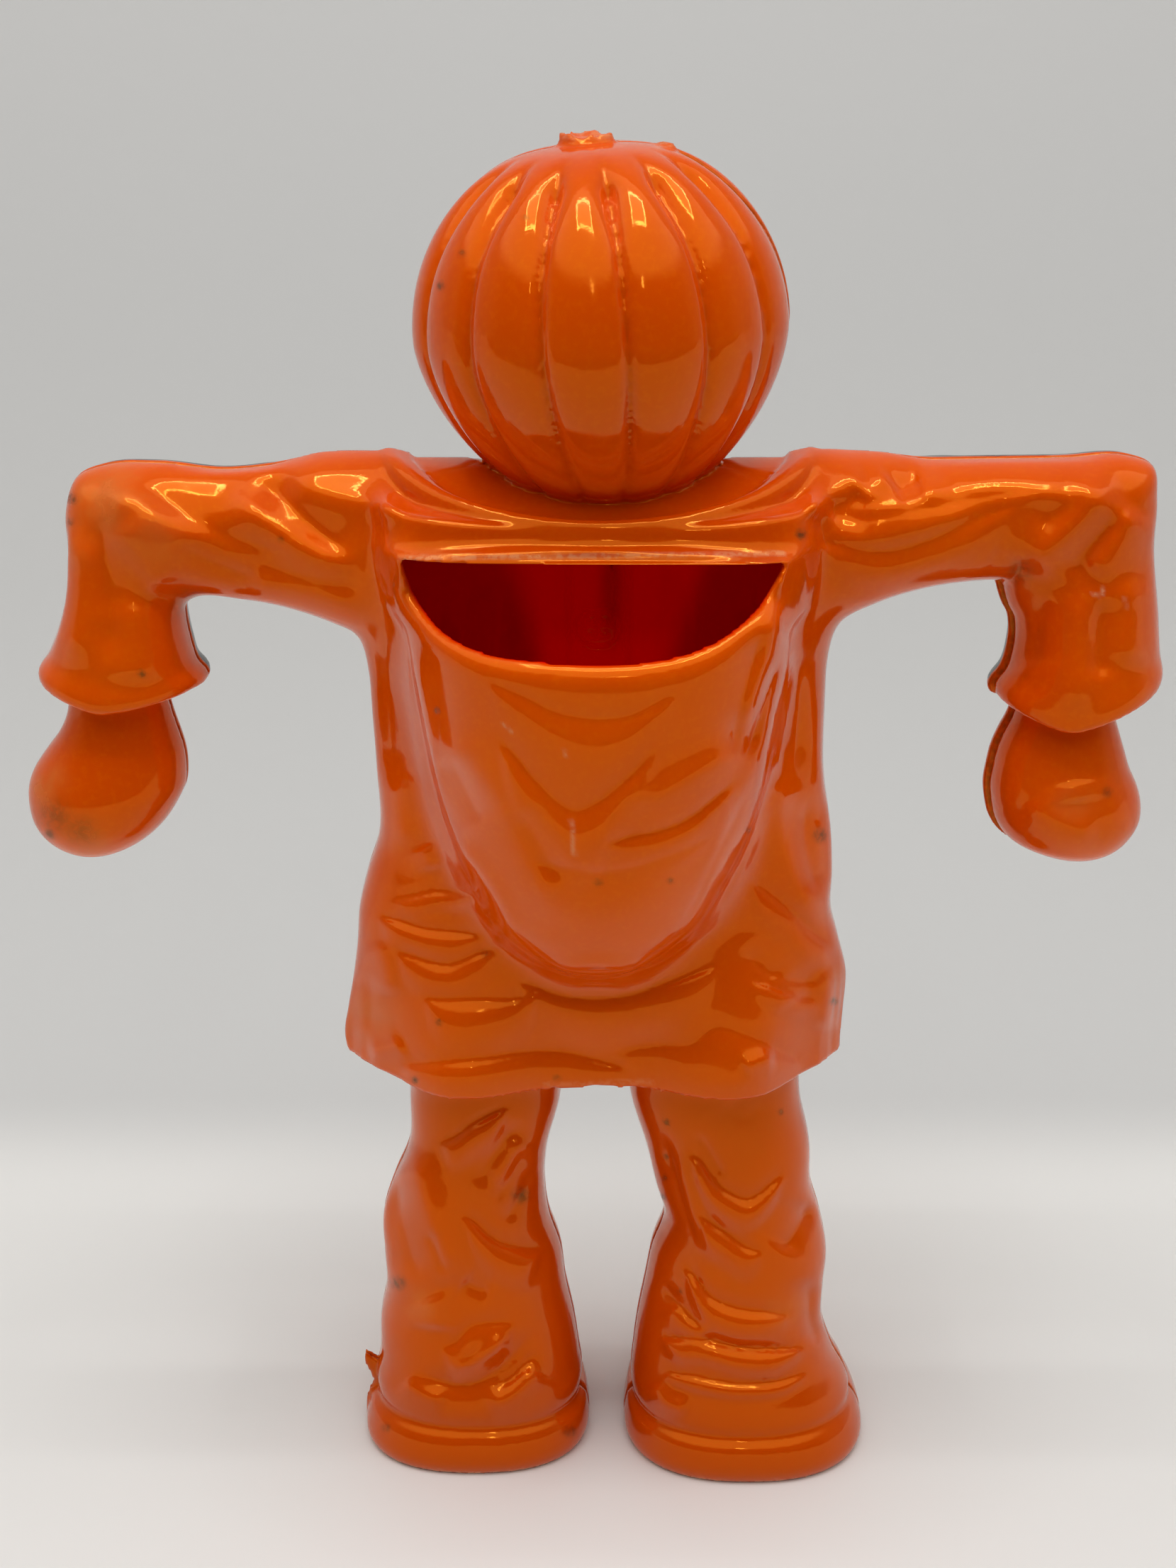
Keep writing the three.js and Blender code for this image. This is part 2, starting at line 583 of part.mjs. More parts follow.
// Mitten of a hand, hanging out of the cuff
function hand({ sign, wrist, handLean }, wall = 0) {
  const rows = [
    { down: -0.12, width: 0.62, depth: 0.6 },
    { down: 0.16, width: 0.68, depth: 0.68 },
    { down: 0.27, width: 0.78, depth: 0.78 },
    { down: 0.37, width: 0.88, depth: 0.88 },
    { down: 0.47, width: 0.96, depth: 0.96 },
    { down: 0.59, width: 1, depth: 1 },
    { down: 0.72, width: 0.96, depth: 0.97 },
    { down: 0.83, width: 0.83, depth: 0.84 },
    { down: 0.93, width: 0.57, depth: 0.6 },
    { down: 1, width: 0.24, depth: 0.26 },
  ];
  const sections = rows.map(({ down, width, depth }) => {
    const centre = wrist + handLean * Math.max(0, down);
    const height = CUFF_HEIGHT - down * HAND_LENGTH;
    return {
      a: [sign * (centre + width * HAND_HALF_WIDTH), height],
      b: [sign * (centre - width * HAND_HALF_WIDTH), height],
      back: depth * HAND_DEPTH,
      front: depth * HAND_DEPTH,
      squareness: 2.1,
    };
  });
  if (!wall) return loft(sections, LIMB_POINTS);
  return loft(sections.slice(0, -1), LIMB_POINTS, wall, wall, -wall / 4);
}

// Trouser leg, from inside the coat to the boot
function leg({ sign, leg: centre, legFolds }, wall = 0) {
  const legFold = (folds) => foldOf(folds, [sign * centre, 0], [sign * LEG_HALF_WIDTH, HEM_HEIGHT]);
  const rows = [
    { up: 1.15, shift: -0.09, width: 0.76, depth: 0.85 },
    { up: 0.9, shift: -0.1, width: 0.77, depth: 0.9 },
    { up: 0.76, shift: -0.04, width: 0.75, depth: 0.92 },
    { up: 0.67, shift: 0.03, width: 0.76, depth: 0.95 },
    { up: 0.58, shift: 0.07, width: 0.8, depth: 0.98 },
    { up: 0.49, shift: 0.04, width: 0.87, depth: 1 },
    { up: 0.4, shift: 0.01, width: 0.9, depth: 1 },
    { up: 0.31, shift: 0, width: 0.95, depth: 1.03 },
    { up: 0.22, shift: 0, width: 1, depth: 1.1 },
    { up: 0.15, shift: 0.02, width: 1.02, depth: 1.15 },
    { up: 0.1, shift: 0.02, width: 0.98, depth: 1.1 },
  ];
  const sections = rows.map(({ up, shift, width, depth }) => {
    const middle = centre + shift * LEG_HALF_WIDTH;
    return {
      a: [sign * (middle + width * LEG_HALF_WIDTH), up * HEM_HEIGHT],
      b: [sign * (middle - width * LEG_HALF_WIDTH), up * HEM_HEIGHT],
      back: depth * LEG_DEPTH,
      front: depth * LEG_DEPTH,
      squareness: 2.3,
      fold: { back: legFold(legFolds.back), front: legFold(legFolds.front) },
    };
  });
  return loft(sections, LIMB_POINTS, wall, -wall, wall);
}

// Boot: a flat sole band, a groove above it, and a toe that reaches forward under the trouser leg
function boot({ sign, foot, footHalfWidth, heel, toe }, wall = 0) {
  const rows = [
    { height: 0, out: 0 },
    { height: SOLE_THICKNESS * 0.85, out: 0 },
    { height: SOLE_THICKNESS, out: -WELT },
    { height: SOLE_THICKNESS * 1.3, out: -WELT },
    { height: SOLE_THICKNESS * 1.9, out: -4 * WELT },
    { height: SOLE_THICKNESS * 2.3, out: -7 * WELT },
  ];
  const sections = rows.map(({ height, out }) => ({
    a: [sign * (foot + footHalfWidth + out), height],
    b: [sign * (foot - footHalfWidth - out), height],
    back: heel + out,
    front: toe + out,
    squareness: 2.4,
  }));
  return loft(sections, LIMB_POINTS, wall, wall, wall);
}

// Passage between the head and the coat, inside the collar
function neckPassage() {
  const bore = new THREE.CylinderGeometry(1, 1, COAT_HEIGHT / 4, LIMB_POINTS);
  bore.rotateX(Math.PI / 2);
  bore.scale(NECK_HALF_WIDTH, NECK_HALF_WIDTH / 2, 1);
  bore.translate(0, 0, SHOULDER_HEIGHT - HEAD_SINK / 2);
  return solidOf(bore);
}

// A flat outline in the figure's front view, pushed from the front through to the seam plane
function frontPrism(outline) {
  const points = outline.map(([x, z]) => new THREE.Vector2(x * HEAD_RADIUS, HEAD_HEIGHT + z * HEAD_RADIUS));
  const prism = new THREE.ExtrudeGeometry(new THREE.Shape(points), {
    depth: FAR,
    bevelEnabled: false,
  });
  prism.rotateX(Math.PI / 2);
  return solidOf(prism);
}

// Plain carved pumpkin face, as shallow recesses: shares of the head's radius
function face() {
  const eye = [
    [0.18, 0.12],
    [0.5, 0.12],
    [0.3, 0.42],
  ];
  const nose = [
    [-0.1, -0.12],
    [0.1, -0.12],
    [0, 0.08],
  ];
  const grin = [
    [-0.52, -0.2],
    [-0.3, -0.32],
    [-0.2, -0.24],
    [-0.1, -0.36],
    [0.1, -0.36],
    [0.2, -0.24],
    [0.3, -0.32],
    [0.52, -0.2],
    [0.36, -0.46],
    [0.14, -0.56],
    [0, -0.5],
    [-0.14, -0.56],
    [-0.36, -0.46],
  ];
  const otherEye = eye.map(([x, z]) => [-x, z]);
  const carved = join([eye, otherEye, nose, grin].map(frontPrism));
  return carved.subtract(head(HEAD_RADIUS - FACE_DEPTH));
}

// Raised band down the front of the coat, and the buttons on it, grown from the coat's own skin
function placket() {
  const band = new THREE.BoxGeometry(PLACKET_WIDTH, FAR, COAT_HEIGHT * 0.8);
  band.translate(0, -FAR / 2, HEM_HEIGHT + COAT_HEIGHT * 0.4);
  const buttons = [0.28, 0.48, 0.68].map((up) => {
    const button = new THREE.CylinderGeometry(BUTTON_RADIUS, BUTTON_RADIUS, FAR, 12);
    button.translate(0, -FAR / 2, HEM_HEIGHT + up * COAT_HEIGHT);
    return solidOf(button).intersect(coat(-BUTTON_RISE));
  });
  return join([solidOf(band).intersect(coat(-PLACKET_RISE)), ...buttons]).subtract(coat(WALL / 2));
}

// Half of space before or behind the seam plane
function halfSpace(sign) {
  const box = new THREE.BoxGeometry(FAR, FAR, FAR);
  box.translate(0, (sign * FAR) / 2, 0);
  return solidOf(box);
}

// Whole skin of the figure, and the hollow inside it
const limbs = Object.values(SIDES);
const skin = join([
  coat(),
  collar(),
  yoke(),
  sack(),
  head(HEAD_RADIUS),
  stem(),
  ...limbs.flatMap((side) => [arm(side), hand(side), leg(side), boot(side)]),
]);
const hollow = join([
  coat(WALL),
  collar(WALL),
  yoke(WALL),
  sack(WALL),
  head(HEAD_RADIUS - WALL, 2),
  neckPassage(),
  ...limbs.flatMap((side) => [arm(side, WALL), hand(side, WALL), leg(side, WALL), boot(side, WALL)]),
]);

const figure = skin.subtract(hollow);
const back = figure.subtract(mouth()).intersect(halfSpace(1));
const front = figure.intersect(halfSpace(-1)).subtract(face()).add(placket());

const orange = new THREE.MeshStandardMaterial({ color: 0xf26a12, roughness: 0.25, metalness: 0 });
const frontOrange = orange.clone();

const scarecrow = new THREE.Group();
scarecrow.position.y = (Math.max(HEAD_RADIUS, SIDES.right.toe) - SACK_DEPTH) / 2;
scarecrow.add(meshOf("back_shell", back, orange));
scarecrow.add(meshOf("front_shell", front, frontOrange));

export default scarecrow;
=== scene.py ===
"""A moulded plastic candy container: a pumpkin-headed scarecrow with an open sack on its back.

The figure is grown as a distance field in millimetres about the plane of its cemented seam,
turned into two thin shells, pressed with the folds of its clothes, and set in the CAD frame.
"""

import math

import bpy
import numpy as np
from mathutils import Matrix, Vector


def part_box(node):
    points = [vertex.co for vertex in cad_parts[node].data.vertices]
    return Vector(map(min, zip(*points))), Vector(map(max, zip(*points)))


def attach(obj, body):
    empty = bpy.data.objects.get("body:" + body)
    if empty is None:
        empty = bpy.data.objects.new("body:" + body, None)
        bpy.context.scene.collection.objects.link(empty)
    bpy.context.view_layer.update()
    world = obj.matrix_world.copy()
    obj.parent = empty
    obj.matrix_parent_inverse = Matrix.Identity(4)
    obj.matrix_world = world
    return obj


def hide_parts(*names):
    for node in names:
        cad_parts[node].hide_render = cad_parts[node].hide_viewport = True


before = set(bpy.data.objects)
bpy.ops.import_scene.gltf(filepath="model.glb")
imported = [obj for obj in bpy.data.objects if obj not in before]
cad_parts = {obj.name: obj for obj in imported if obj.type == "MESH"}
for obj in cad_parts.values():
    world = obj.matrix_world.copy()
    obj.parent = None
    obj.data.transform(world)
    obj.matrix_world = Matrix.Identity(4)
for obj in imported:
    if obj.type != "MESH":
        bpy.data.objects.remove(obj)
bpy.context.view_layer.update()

import openvdb as vdb
from mathutils import Vector

MM = 0.001
SEAM_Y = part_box("front_shell")[1][1] / MM

# Grid of the distance field, mm
VOXEL = 0.32
BAND = 3.3
LOW = np.array([-60.0, -22.0, -3.0])
HIGH = np.array([60.0, 28.0, 140.0])
LOW_INDEX = np.floor(LOW / VOXEL).astype(int)
SHAPE = np.ceil(HIGH / VOXEL).astype(int) - LOW_INDEX + 1

# Sizes of the moulding, mm
WALL = 1.4
SEAM_GAP = 0.03
HEAD_CENTRE = np.array([-0.2, 0.0, 116.9])
HEAD_RADIUS = 16.9
HEAD_RIBS = 14
FIRST_GROOVE = math.radians(7.6)
HEAD_TILT = math.radians(4)
STEM_X = 1.15
GATE_X = -5.7
HEM = 44.5
CUFF_HEM = 83.1
ARM_START = 30
YOKE_DEPTH = 12.4
BOWL_WIDTH = 17.2
BOWL_DEPTH = 11.1
SLIP = 0.55
SLOT_X = -1.3
SLOT_DEPTH = 0.35

# The photograph's viewpoint, mm from the seam plane's foot, and its pitch and focal length
CAMERA = np.array([1.06, 214.1, 151.6])
CAMERA_PITCH = math.radians(20.2)
PHOTO_SIZE = (1659, 2212)
FOCAL_PIXELS = 3324

# Colours of the plastic and of what is on it, and of painted shade, painted highlights and painted glow
PLASTIC = (0.83, 0.093, 0.0)
PLASTIC_DEEP = (0.77, 0.077, 0.0)
PLASTIC_PALE = (0.87, 0.13, 0.0)
# Painted shade: darker plastic for the lower coat and the trousers, and for the boots
LOW_PAINTED_SHADE = (0.68, 0.074, 0.0)
FOOT_PAINTED_SHADE = (0.56, 0.056, 0.0)
# Painted shade and light inside the shell: deep red for the dim light that comes through the plastic
INSIDE_SHADE = (0.66, 0.0, 0.0)
# Painted shade in the head's grooves and on the yoke's face
CREASE_SHADE = (0.45, 0.03, 0.0)
WORN = (0.72, 0.17, 0.03)
# Pale chalky wear, and painted highlights on the soles and the coat's hem
CHALK_AND_HIGHLIGHT = (0.8, 0.4, 0.22)
DIRT = (0.07, 0.022, 0.008)
PAINT = (0.014, 0.012, 0.011)
GLEAM = (1.0, 0.41, 0.042)
PAINT_GLEAM = (0.35, 0.34, 0.33)
GLOW = (1, 0, 0, 1)
GLOW_LIGHT = 0.085
INSIDE_LIGHT = 0.01
GLOSS = 0.06
GLEAM_INDEX = 1.85
# Painted shade low on the figure, on the lower coat, the trousers and the boots: (height in metres with the
# full share, height with none, share, colour)
LOWER_PAINTED_SHADE = [(0.055, 0.072, 0.5, LOW_PAINTED_SHADE), (0.0425, 0.0445, 1.0, LOW_PAINTED_SHADE), (0.004, 0.02, 0.8, FOOT_PAINTED_SHADE)]

# Studio
TABLE_COLOUR = (0.765, 0.757, 0.737)
# Painted shade: the far table and the curve are painted darker to match the dimmer backdrop
SWEEP_PAINTED_SHADE = (0.59, 0.588, 0.58)
WALL_COLOUR = (0.95, 0.942, 0.928)
# Painted shade of the dark room past the table's front end
ROOM_PAINTED_SHADE = (0.08, 0.07, 0.06)
SKY_COLOUR = (1, 0.99, 0.97, 1)
HORIZON_LIGHT = 0.27
ROOM_LIGHT = 0.06
CEILING_LIGHT = 1.34
FITTING = (0.01, 0.115, 0.72)
FITTING_SIZE = (0.32, 0.2)
FITTING_POWER = 6
EDGE_WIDTH = 0.02
EDGE_POWER = 60
WINDOW = (-0.05, 0.8, 0.62)
WINDOW_SIZE = (0.05, 0.1)
WINDOW_POWER = 30


def smooth_step(value, low, high):
    """0 at the low level, 1 at the high one, and a smooth change between them."""
    t = np.clip((value - low) / (high - low), 0, 1)
    return t * t * (3 - 2 * t)


# Lofted forms

def smooth_rows(rows, per_span=7):
    """The rows of a table of numbers, with smooth steps between them."""
    rows = np.array(rows, float)
    gaps = np.linalg.norm(np.diff(rows[:, :4], axis=0), axis=1)
    place = np.concatenate([[0], np.cumsum(np.maximum(gaps, 0.2))])
    slope = np.gradient(rows, place, axis=0)
    out = []
    for i in range(len(rows) - 1):
        span = place[i + 1] - place[i]
        for t in np.arange(per_span) / per_span:
            a = 2 * t**3 - 3 * t**2 + 1
            b = t**3 - 2 * t**2 + t
            row = a * rows[i] + b * span * slope[i] + (1 - a) * rows[i + 1]
            out.append(row + (t**3 - t**2) * span * slope[i + 1])
    out.append(rows[-1])
    return np.array(out)


def wave(value, squareness):
    return np.sign(value) * np.abs(value) ** (2 / squareness)


def loft(rows, count=120, shape=None):
    """Points and faces of a form. A row is the section's two points on the seam plane (x, z, x, z),
    how far it stands behind and before that plane, and its squareness."""
    rows = smooth_rows(rows)
    angle = np.arange(count) / count * 2 * math.pi
    ax, az, bx, bz, back, front, square = [rows[:, i, None] for i in range(7)]
    along = wave(np.cos(angle)[None], square)
    across = wave(np.sin(angle)[None], square)
    x = (ax + bx) / 2 + (ax - bx) / 2 * along
    y = across * np.where(across > 0, back, front)
    z = (az + bz) / 2 + (az - bz) / 2 * along
    points = np.stack([x, y, z], axis=2)
    if shape:
        points = shape(points, across)
    return skin(points)


def skin(points):
    """A closed mesh over rings of points, with a fan over each end."""
    rings, count = points.shape[:2]
    poles = np.array([points[0].mean(0), points[-1].mean(0)])
    flat = np.concatenate([points.reshape(-1, 3), poles])
    spot = np.arange(count)
    after = (spot + 1) % count
    start = np.arange(rings - 1)[:, None] * count
    quads = np.stack([start + spot, start + after, start + count + after, start + count + spot], 2)
    last = (rings - 1) * count
    bottom = np.stack([np.full(count, rings * count), after, spot], 1)
    top = np.stack([np.full(count, rings * count + 1), last + spot, last + after], 1)
    return flat, np.concatenate([bottom, top]), quads.reshape(-1, 4)


def level_rows(table, *square):
    """Rows of a form that stands upright, from (z, left x, right x, back, front, squareness).
    Numbers that end every row alike are given once, behind the table."""
    return [(left, z, right, z, *rest, *square) for z, left, right, *rest in table]


# Forms of the figure

def coat():
    table = [
        (44.5, 25.2, -24.3, 11, 12), (46, 25.5, -24.3, 11, 12), (49.5, 25, -24.5, 10.7, 11.8),
        (53.3, 24.3, -24.6, 10.4, 11.5), (57, 23.8, -23.7, 10.2, 11.2), (60.6, 23.5, -22.8, 10, 11),
        (64.2, 22.6, -22.8, 9.8, 10.8), (68, 21.4, -22.6, 9.6, 10.6), (75, 21.4, -21.6, 9.4, 10.5),
        (82, 21.7, -21.5, 9.6, 10.6), (88, 21.8, -21.5, 10, 10.8), (95, 21, -21, 10.6, 10.6),
        (100.5, 19.5, -19.5, 10.4, 9.5), (103.8, 17.5, -17.5, 8.2, 6.8),
    ]
    # Depth of the coat's back at the hem, from left to right: (x, depth)
    hem = np.array([
        (25.4, 0), (24.4, 2.2), (22.5, 4.3), (20, 6.8), (18, 8.9), (16, 10.6), (13.5, 11.5), (11, 11.2),
        (8.5, 10.2), (5, 8.7), (0, 8.3), (-5, 9), (-9, 10.9), (-13, 11.8), (-16, 10.8), (-18.5, 7.9),
        (-20.5, 5.4), (-22.8, 3.4), (-24.2, 0),
    ])
    hem = hem[np.argsort(hem[:, 0])].T

    def hem_lobes(points, across):
        x, y, z = [points[..., i] for i in range(3)]
        low = smooth_step(62 - z, 0, 16)
        depth = sum(np.interp(x + step, *hem) for step in (0, -0.9, 0.9)) / 3
        hung = y * (1 - low) + np.minimum(depth, 30 * across) * low
        points[..., 1] = np.where(across > 0, hung, y)
        return points

    return loft(level_rows(table, 2.6), 160, hem_lobes)


def yoke():
    table = [
        (93.5, 18.8, -18.8, YOKE_DEPTH),
        (96.5, 19.6, -19.6, YOKE_DEPTH),
        (100.5, 19.8, -19.8, YOKE_DEPTH),
        (101.0, 19.75, -19.75, YOKE_DEPTH - 0.1),
        (101.3, 19.6, -19.6, YOKE_DEPTH - 0.4),
        (101.4, 19.2, -19.2, YOKE_DEPTH - 0.9),
    ]

    def raise_sides(points, across):
        high = np.clip((points[..., 2] - 97) / 4, 0, 1)
        points[..., 2] += 0.9 * high * (points[..., 0] / 19) ** 2
        return points

    return loft(level_rows(table, 6, 5), 160, raise_sides)


def sack():
    table = [
        (57.2, 4.6, -4.6, 10.8, 2, 2.3), (58.4, 7.6, -7.2, 13, 2, 2.3), (60, 10, -9.4, 14.8, 2, 2.35),
        (62.6, 12.2, -11.6, 16.6, 2, 2.4), (66.5, 13.7, -13.4, 18.3, 2, 2.45),
        (71.5, 15.2, -15.3, 19.7, 2, 2.5), (76, 16.3, -16.5, 20.6, 2, 2.5),
        (83, 17.5, -17.6, 21.5, 2, 2.5), (89, 18.4, -18.4, 22, 2, 2.5),
        (94.5, 19.1, -18.7, 22.2, 2, 2.5), (98.5, 19.6, -18.9, 22.2, 2, 2.5),
    ]
    return loft(level_rows(table), 160)


def arm(side):
    left = [
        (13, 103, 16, 80, 8, 8), (17, 104.4, 20, 84, 7.8, 7.6), (20.5, 104.8, 22.4, 88, 7.3, 7),
        (24.5, 104.8, 25, 89.4, 6.9, 6.6), (29, 104.4, 29, 90.8, 6.5, 6.4),
        (35, 103.9, 33.5, 91.7, 6.2, 6.3), (41, 104.5, 37, 92, 6.1, 6.2),
        (45.5, 104.3, 38.5, 91.4, 5.9, 6), (48.2, 103.2, 38.9, 90.8, 5.8, 5.9),
        (49.3, 100.5, 38.9, 90, 5.9, 6), (49.4, 96.5, 38.8, 89, 6.2, 6.2),
        (50.2, 91, 38.5, 87.3, 6.6, 6.5), (51.9, 87, 38, 85.5, 7, 6.9),
        (53.1, 84.9, 37.1, 84, 7.4, 7.3), (53, 84.6, 37.2, 83.7, 7.3, 7.2),
        (52.5, 84.4, 37.8, 83.5, 6.8, 6.7),
    ]
    right = [
        (-13, 103.5, -16, 81, 8, 8), (-17, 104.6, -20, 85.5, 7.8, 7.6),
        (-20.5, 105, -22.4, 89.4, 7.3, 7), (-25, 104.8, -26, 91.4, 6.9, 6.6),
        (-30, 104.8, -30, 92.7, 6.5, 6.4), (-36, 104.9, -34, 93.4, 6.2, 6.3),
        (-43, 105, -36.6, 93.5, 6.1, 6.2), (-48.5, 105.2, -37.2, 93, 5.9, 6),
        (-51, 104.2, -37.5, 92, 5.8, 5.9), (-51.5, 101.5, -37.9, 91, 5.9, 6),
        (-51.6, 96.5, -38.5, 90, 6.2, 6.2), (-52.4, 91, -38.7, 88, 6.7, 6.6),
        (-52.9, 87, -38.2, 85.9, 7.2, 7.1), (-53.3, 84.3, -37.1, 83.9, 7.6, 7.5),
        (-53.2, 84, -37.2, 83.6, 7.5, 7.4), (-52.7, 83.8, -37.8, 83.4, 7, 6.9),
    ]
    middle, width, droop = (46.6, 7.7, 2.0) if side > 0 else (-43.6, 9.2, 3.3)

    def pointed(points, across):
        low = np.clip((91 - points[..., 2]) / 7, 0, 1) ** 1.5
        spread = np.sqrt(((points[..., 0] - middle) / width) ** 2 + 0.02)
        points[..., 2] -= droop * low * np.clip(1.1 - spread, 0, 1)
        return points

    return loft([(*row, 2.2) for row in (left if side > 0 else right)], 120, pointed)


def hand(side):
    left = [
        (86, 50.4, 41.6, 4.2, 4.2), (82, 50.5, 41.1, 4.4, 4.4), (80.1, 50.9, 40.7, 4.8, 4.7),
        (78.3, 51.8, 40.2, 5.4, 5.2), (76.6, 53.1, 39.8, 6, 5.8), (74.9, 54.3, 39.7, 6.5, 6.3),
        (73.1, 55, 39.9, 6.8, 6.5), (71.4, 55.1, 40.7, 6.7, 6.4), (69.6, 54.8, 41.9, 6.3, 6),
        (67.8, 53.7, 43.8, 5.1, 4.9), (66.6, 51.9, 46, 3.5, 3.4), (66, 50.2, 48, 1.6, 1.6),
    ]
    right = [
        (86, -39.8, -48.6, 4.2, 4.2), (82, -39.5, -48.8, 4.4, 4.4), (80.1, -39.1, -49.2, 4.8, 4.7),
        (78.3, -38.3, -49.8, 5.4, 5.2), (76.6, -37.7, -50.4, 5.9, 5.7), (74.9, -37.4, -51, 6.3, 6.1),
        (73.1, -37.2, -51.9, 6.6, 6.4), (71.4, -37.4, -52.4, 6.7, 6.4), (69.6, -37.9, -52.4, 6.5, 6.2),
        (67.8, -39.2, -51.5, 5.7, 5.4), (66.4, -42, -49.8, 4.1, 3.9), (65.6, -44.8, -47.4, 1.8, 1.8),
    ]
    return loft(level_rows(left if side > 0 else right, 2.1), 96)


def leg(side):
    left = [
        (52, 18.8, 3.6, 6.6, 6.6), (44.5, 19, 3.7, 6.9, 6.8), (40, 19.1, 3.8, 7.1, 7),
        (34, 19.4, 5.2, 7.2, 7.2), (30, 21, 5.5, 7.4, 7.4), (26, 22.2, 5.1, 7.6, 7.6),
        (22, 22.2, 3.9, 7.8, 7.7), (18, 22.1, 3.4, 7.9, 7.9), (14, 22.8, 2.6, 8.2, 8.2),
        (9.7, 23, 2, 8.7, 9), (7, 23.4, 1.7, 9, 9.6), (5.6, 23.3, 1.9, 8.8, 9.6),
        (4.4, 22.8, 2.4, 8.3, 9.2),
    ]
    right = [
        (52, -2.6, -20, 6.6, 6.6), (44.5, -2.8, -20.2, 6.9, 6.8), (40, -3.2, -20.4, 7.2, 7),
        (34, -4.9, -21.6, 7.4, 7.2), (30, -5.8, -21.8, 7.6, 7.4), (26, -6.8, -22.9, 7.8, 7.6),
        (22, -5.6, -23.7, 8, 7.8), (18, -4.9, -23.5, 8.2, 8), (14, -4.2, -23.5, 8.7, 8.4),
        (9.7, -3.7, -24.8, 9.6, 9.2), (7, -3.5, -26.2, 10.2, 9.8), (5.6, -3.6, -26.6, 10.3, 9.8),
        (4.4, -4, -26.3, 9.9, 9.4),
    ]
    return loft(level_rows(left if side > 0 else right, 2.3))


def boot(side):
    left = [
        (0, 24.2, 1.5, 9.3, 14.8, 2.4), (0.4, 24.5, 1.2, 9.6, 15, 2.4), (3.2, 24.3, 1.1, 9.75, 15, 2.4),
        (4, 24, 1.3, 9.5, 14.9, 2.4), (4.8, 23.2, 2, 8.9, 14.4, 2.4), (6, 22.6, 3, 7.6, 13.8, 2.3),
        (9, 20.6, 4.8, 6, 11.6, 2.2), (12, 18.6, 6.6, 5, 8, 2.1),
    ]
    right = [
        (0, -3.3, -27.6, 10.8, 15.8, 2.4), (0.4, -3, -27.9, 11.1, 16, 2.4),
        (3.2, -3, -27.6, 11.3, 16, 2.4), (4, -3.2, -27.2, 11.1, 15.9, 2.4),
        (4.8, -3.9, -26.6, 10.4, 15.4, 2.4), (6, -5, -25.2, 9, 14.8, 2.3), (9, -7, -22.6, 7, 12.4, 2.2),
        (12, -9, -20, 5.6, 8.6, 2.1),
    ]
    return loft(level_rows(left if side > 0 else right))


def flash():
    """Sliver of plastic squeezed out of the seam at the left foot."""
    table = [
        (0.4, 24.7, 22, 0.6, 0.6, 3), (1.4, 24.9, 22, 0.6, 0.6, 3), (3.8, 24.6, 22, 0.6, 0.6, 3),
        (5.2, 24, 22, 0.6, 0.6, 3), (6.2, 24.3, 22, 0.6, 0.6, 3), (7.4, 24.9, 22.6, 0.5, 0.5, 2.6),
        (8.4, 25, 23.9, 0.4, 0.4, 2.2), (8.9, 24.8, 24.4, 0.3, 0.3, 2),
    ]
    return loft(level_rows(table), 40)


def collar():
    """Dished ring round the neck: its rim drops from the shoulders to the nape and the chest."""
    rings = [
        (15, 8.5, 92, 0.6), (18.6, 11.4, 100, 0.9), (19.9, 12.5, 103, 0.9), (20.3, 12.8, 104.1, 0.86),
        (20, 12.5, 104.9, 0.8), (19.2, 11.9, 105.1, 0.78), (18.3, 11.3, 104.8, 0.78),
        (17.4, 10.8, 104.4, 0.74), (15, 9.3, 104.7, 0.8), (12.4, 7.6, 105.4, 0.9), (8, 5, 106.4, 0.6),
    ]
    angle = np.arange(160) / 160 * 2 * math.pi
    rows = smooth_rows(rings, 5)
    width, depth, height, drop = [rows[:, i, None] for i in range(4)]
    z = height - 4.1 * drop * np.sin(angle)[None] ** 2
    x = width * np.cos(angle)[None] + 0 * z
    y = depth * np.sin(angle)[None] + 0 * z
    return skin(np.stack([x, y, z], 2))


def across_rib(turn):
    """Place across a rib of the head, from -0.5 to 0.5 between its two grooves."""
    return (turn - FIRST_GROOVE) * HEAD_RIBS / (2 * math.pi) % 1 - 0.5


def lean(x, z, tilt):
    return x * math.cos(tilt) + z * math.sin(tilt), z * math.cos(tilt) - x * math.sin(tilt)


def head():
    """Ball of the pumpkin, with a narrow groove between each two ribs."""
    polar = np.linspace(0.02, math.pi - 0.02, 150)[:, None]
    turn = np.arange(HEAD_RIBS * 32)[None] / (HEAD_RIBS * 32) * 2 * math.pi
    across = across_rib(turn)
    edge = 0.5 - np.abs(across)
    arc = edge * 2 * math.pi / HEAD_RIBS * HEAD_RADIUS * np.sin(polar)
    fade = np.clip((polar - 0.36) / 0.3, 0, 1) ** 2 * (1 - 0.75 * smooth_step(polar, 2.0, 2.6))
    groove = 0.65 * np.exp(-((arc / 0.36) ** 1.3)) * fade
    crown = (0.6 + 0.7 * np.exp(-(((polar - 0.72) / 0.24) ** 2))) * fade
    gore = crown * np.abs(2 * across) ** 2.2
    flat_top = 1.05 * np.exp(-((polar / 0.42) ** 2))
    reach = HEAD_RADIUS + 0.25 - gore - groove - flat_top
    narrowing = 1 - 0.17 * np.clip(-np.cos(polar), 0, 1) ** 1.25
    x = -reach * narrowing * np.sin(polar) * np.sin(turn)
    y = reach * narrowing * np.sin(polar) * np.cos(turn)
    z = reach * np.cos(polar) + 0 * turn
    x, z = lean(x, z, HEAD_TILT)
    return skin(np.stack([x, y, z], 2) + HEAD_CENTRE)


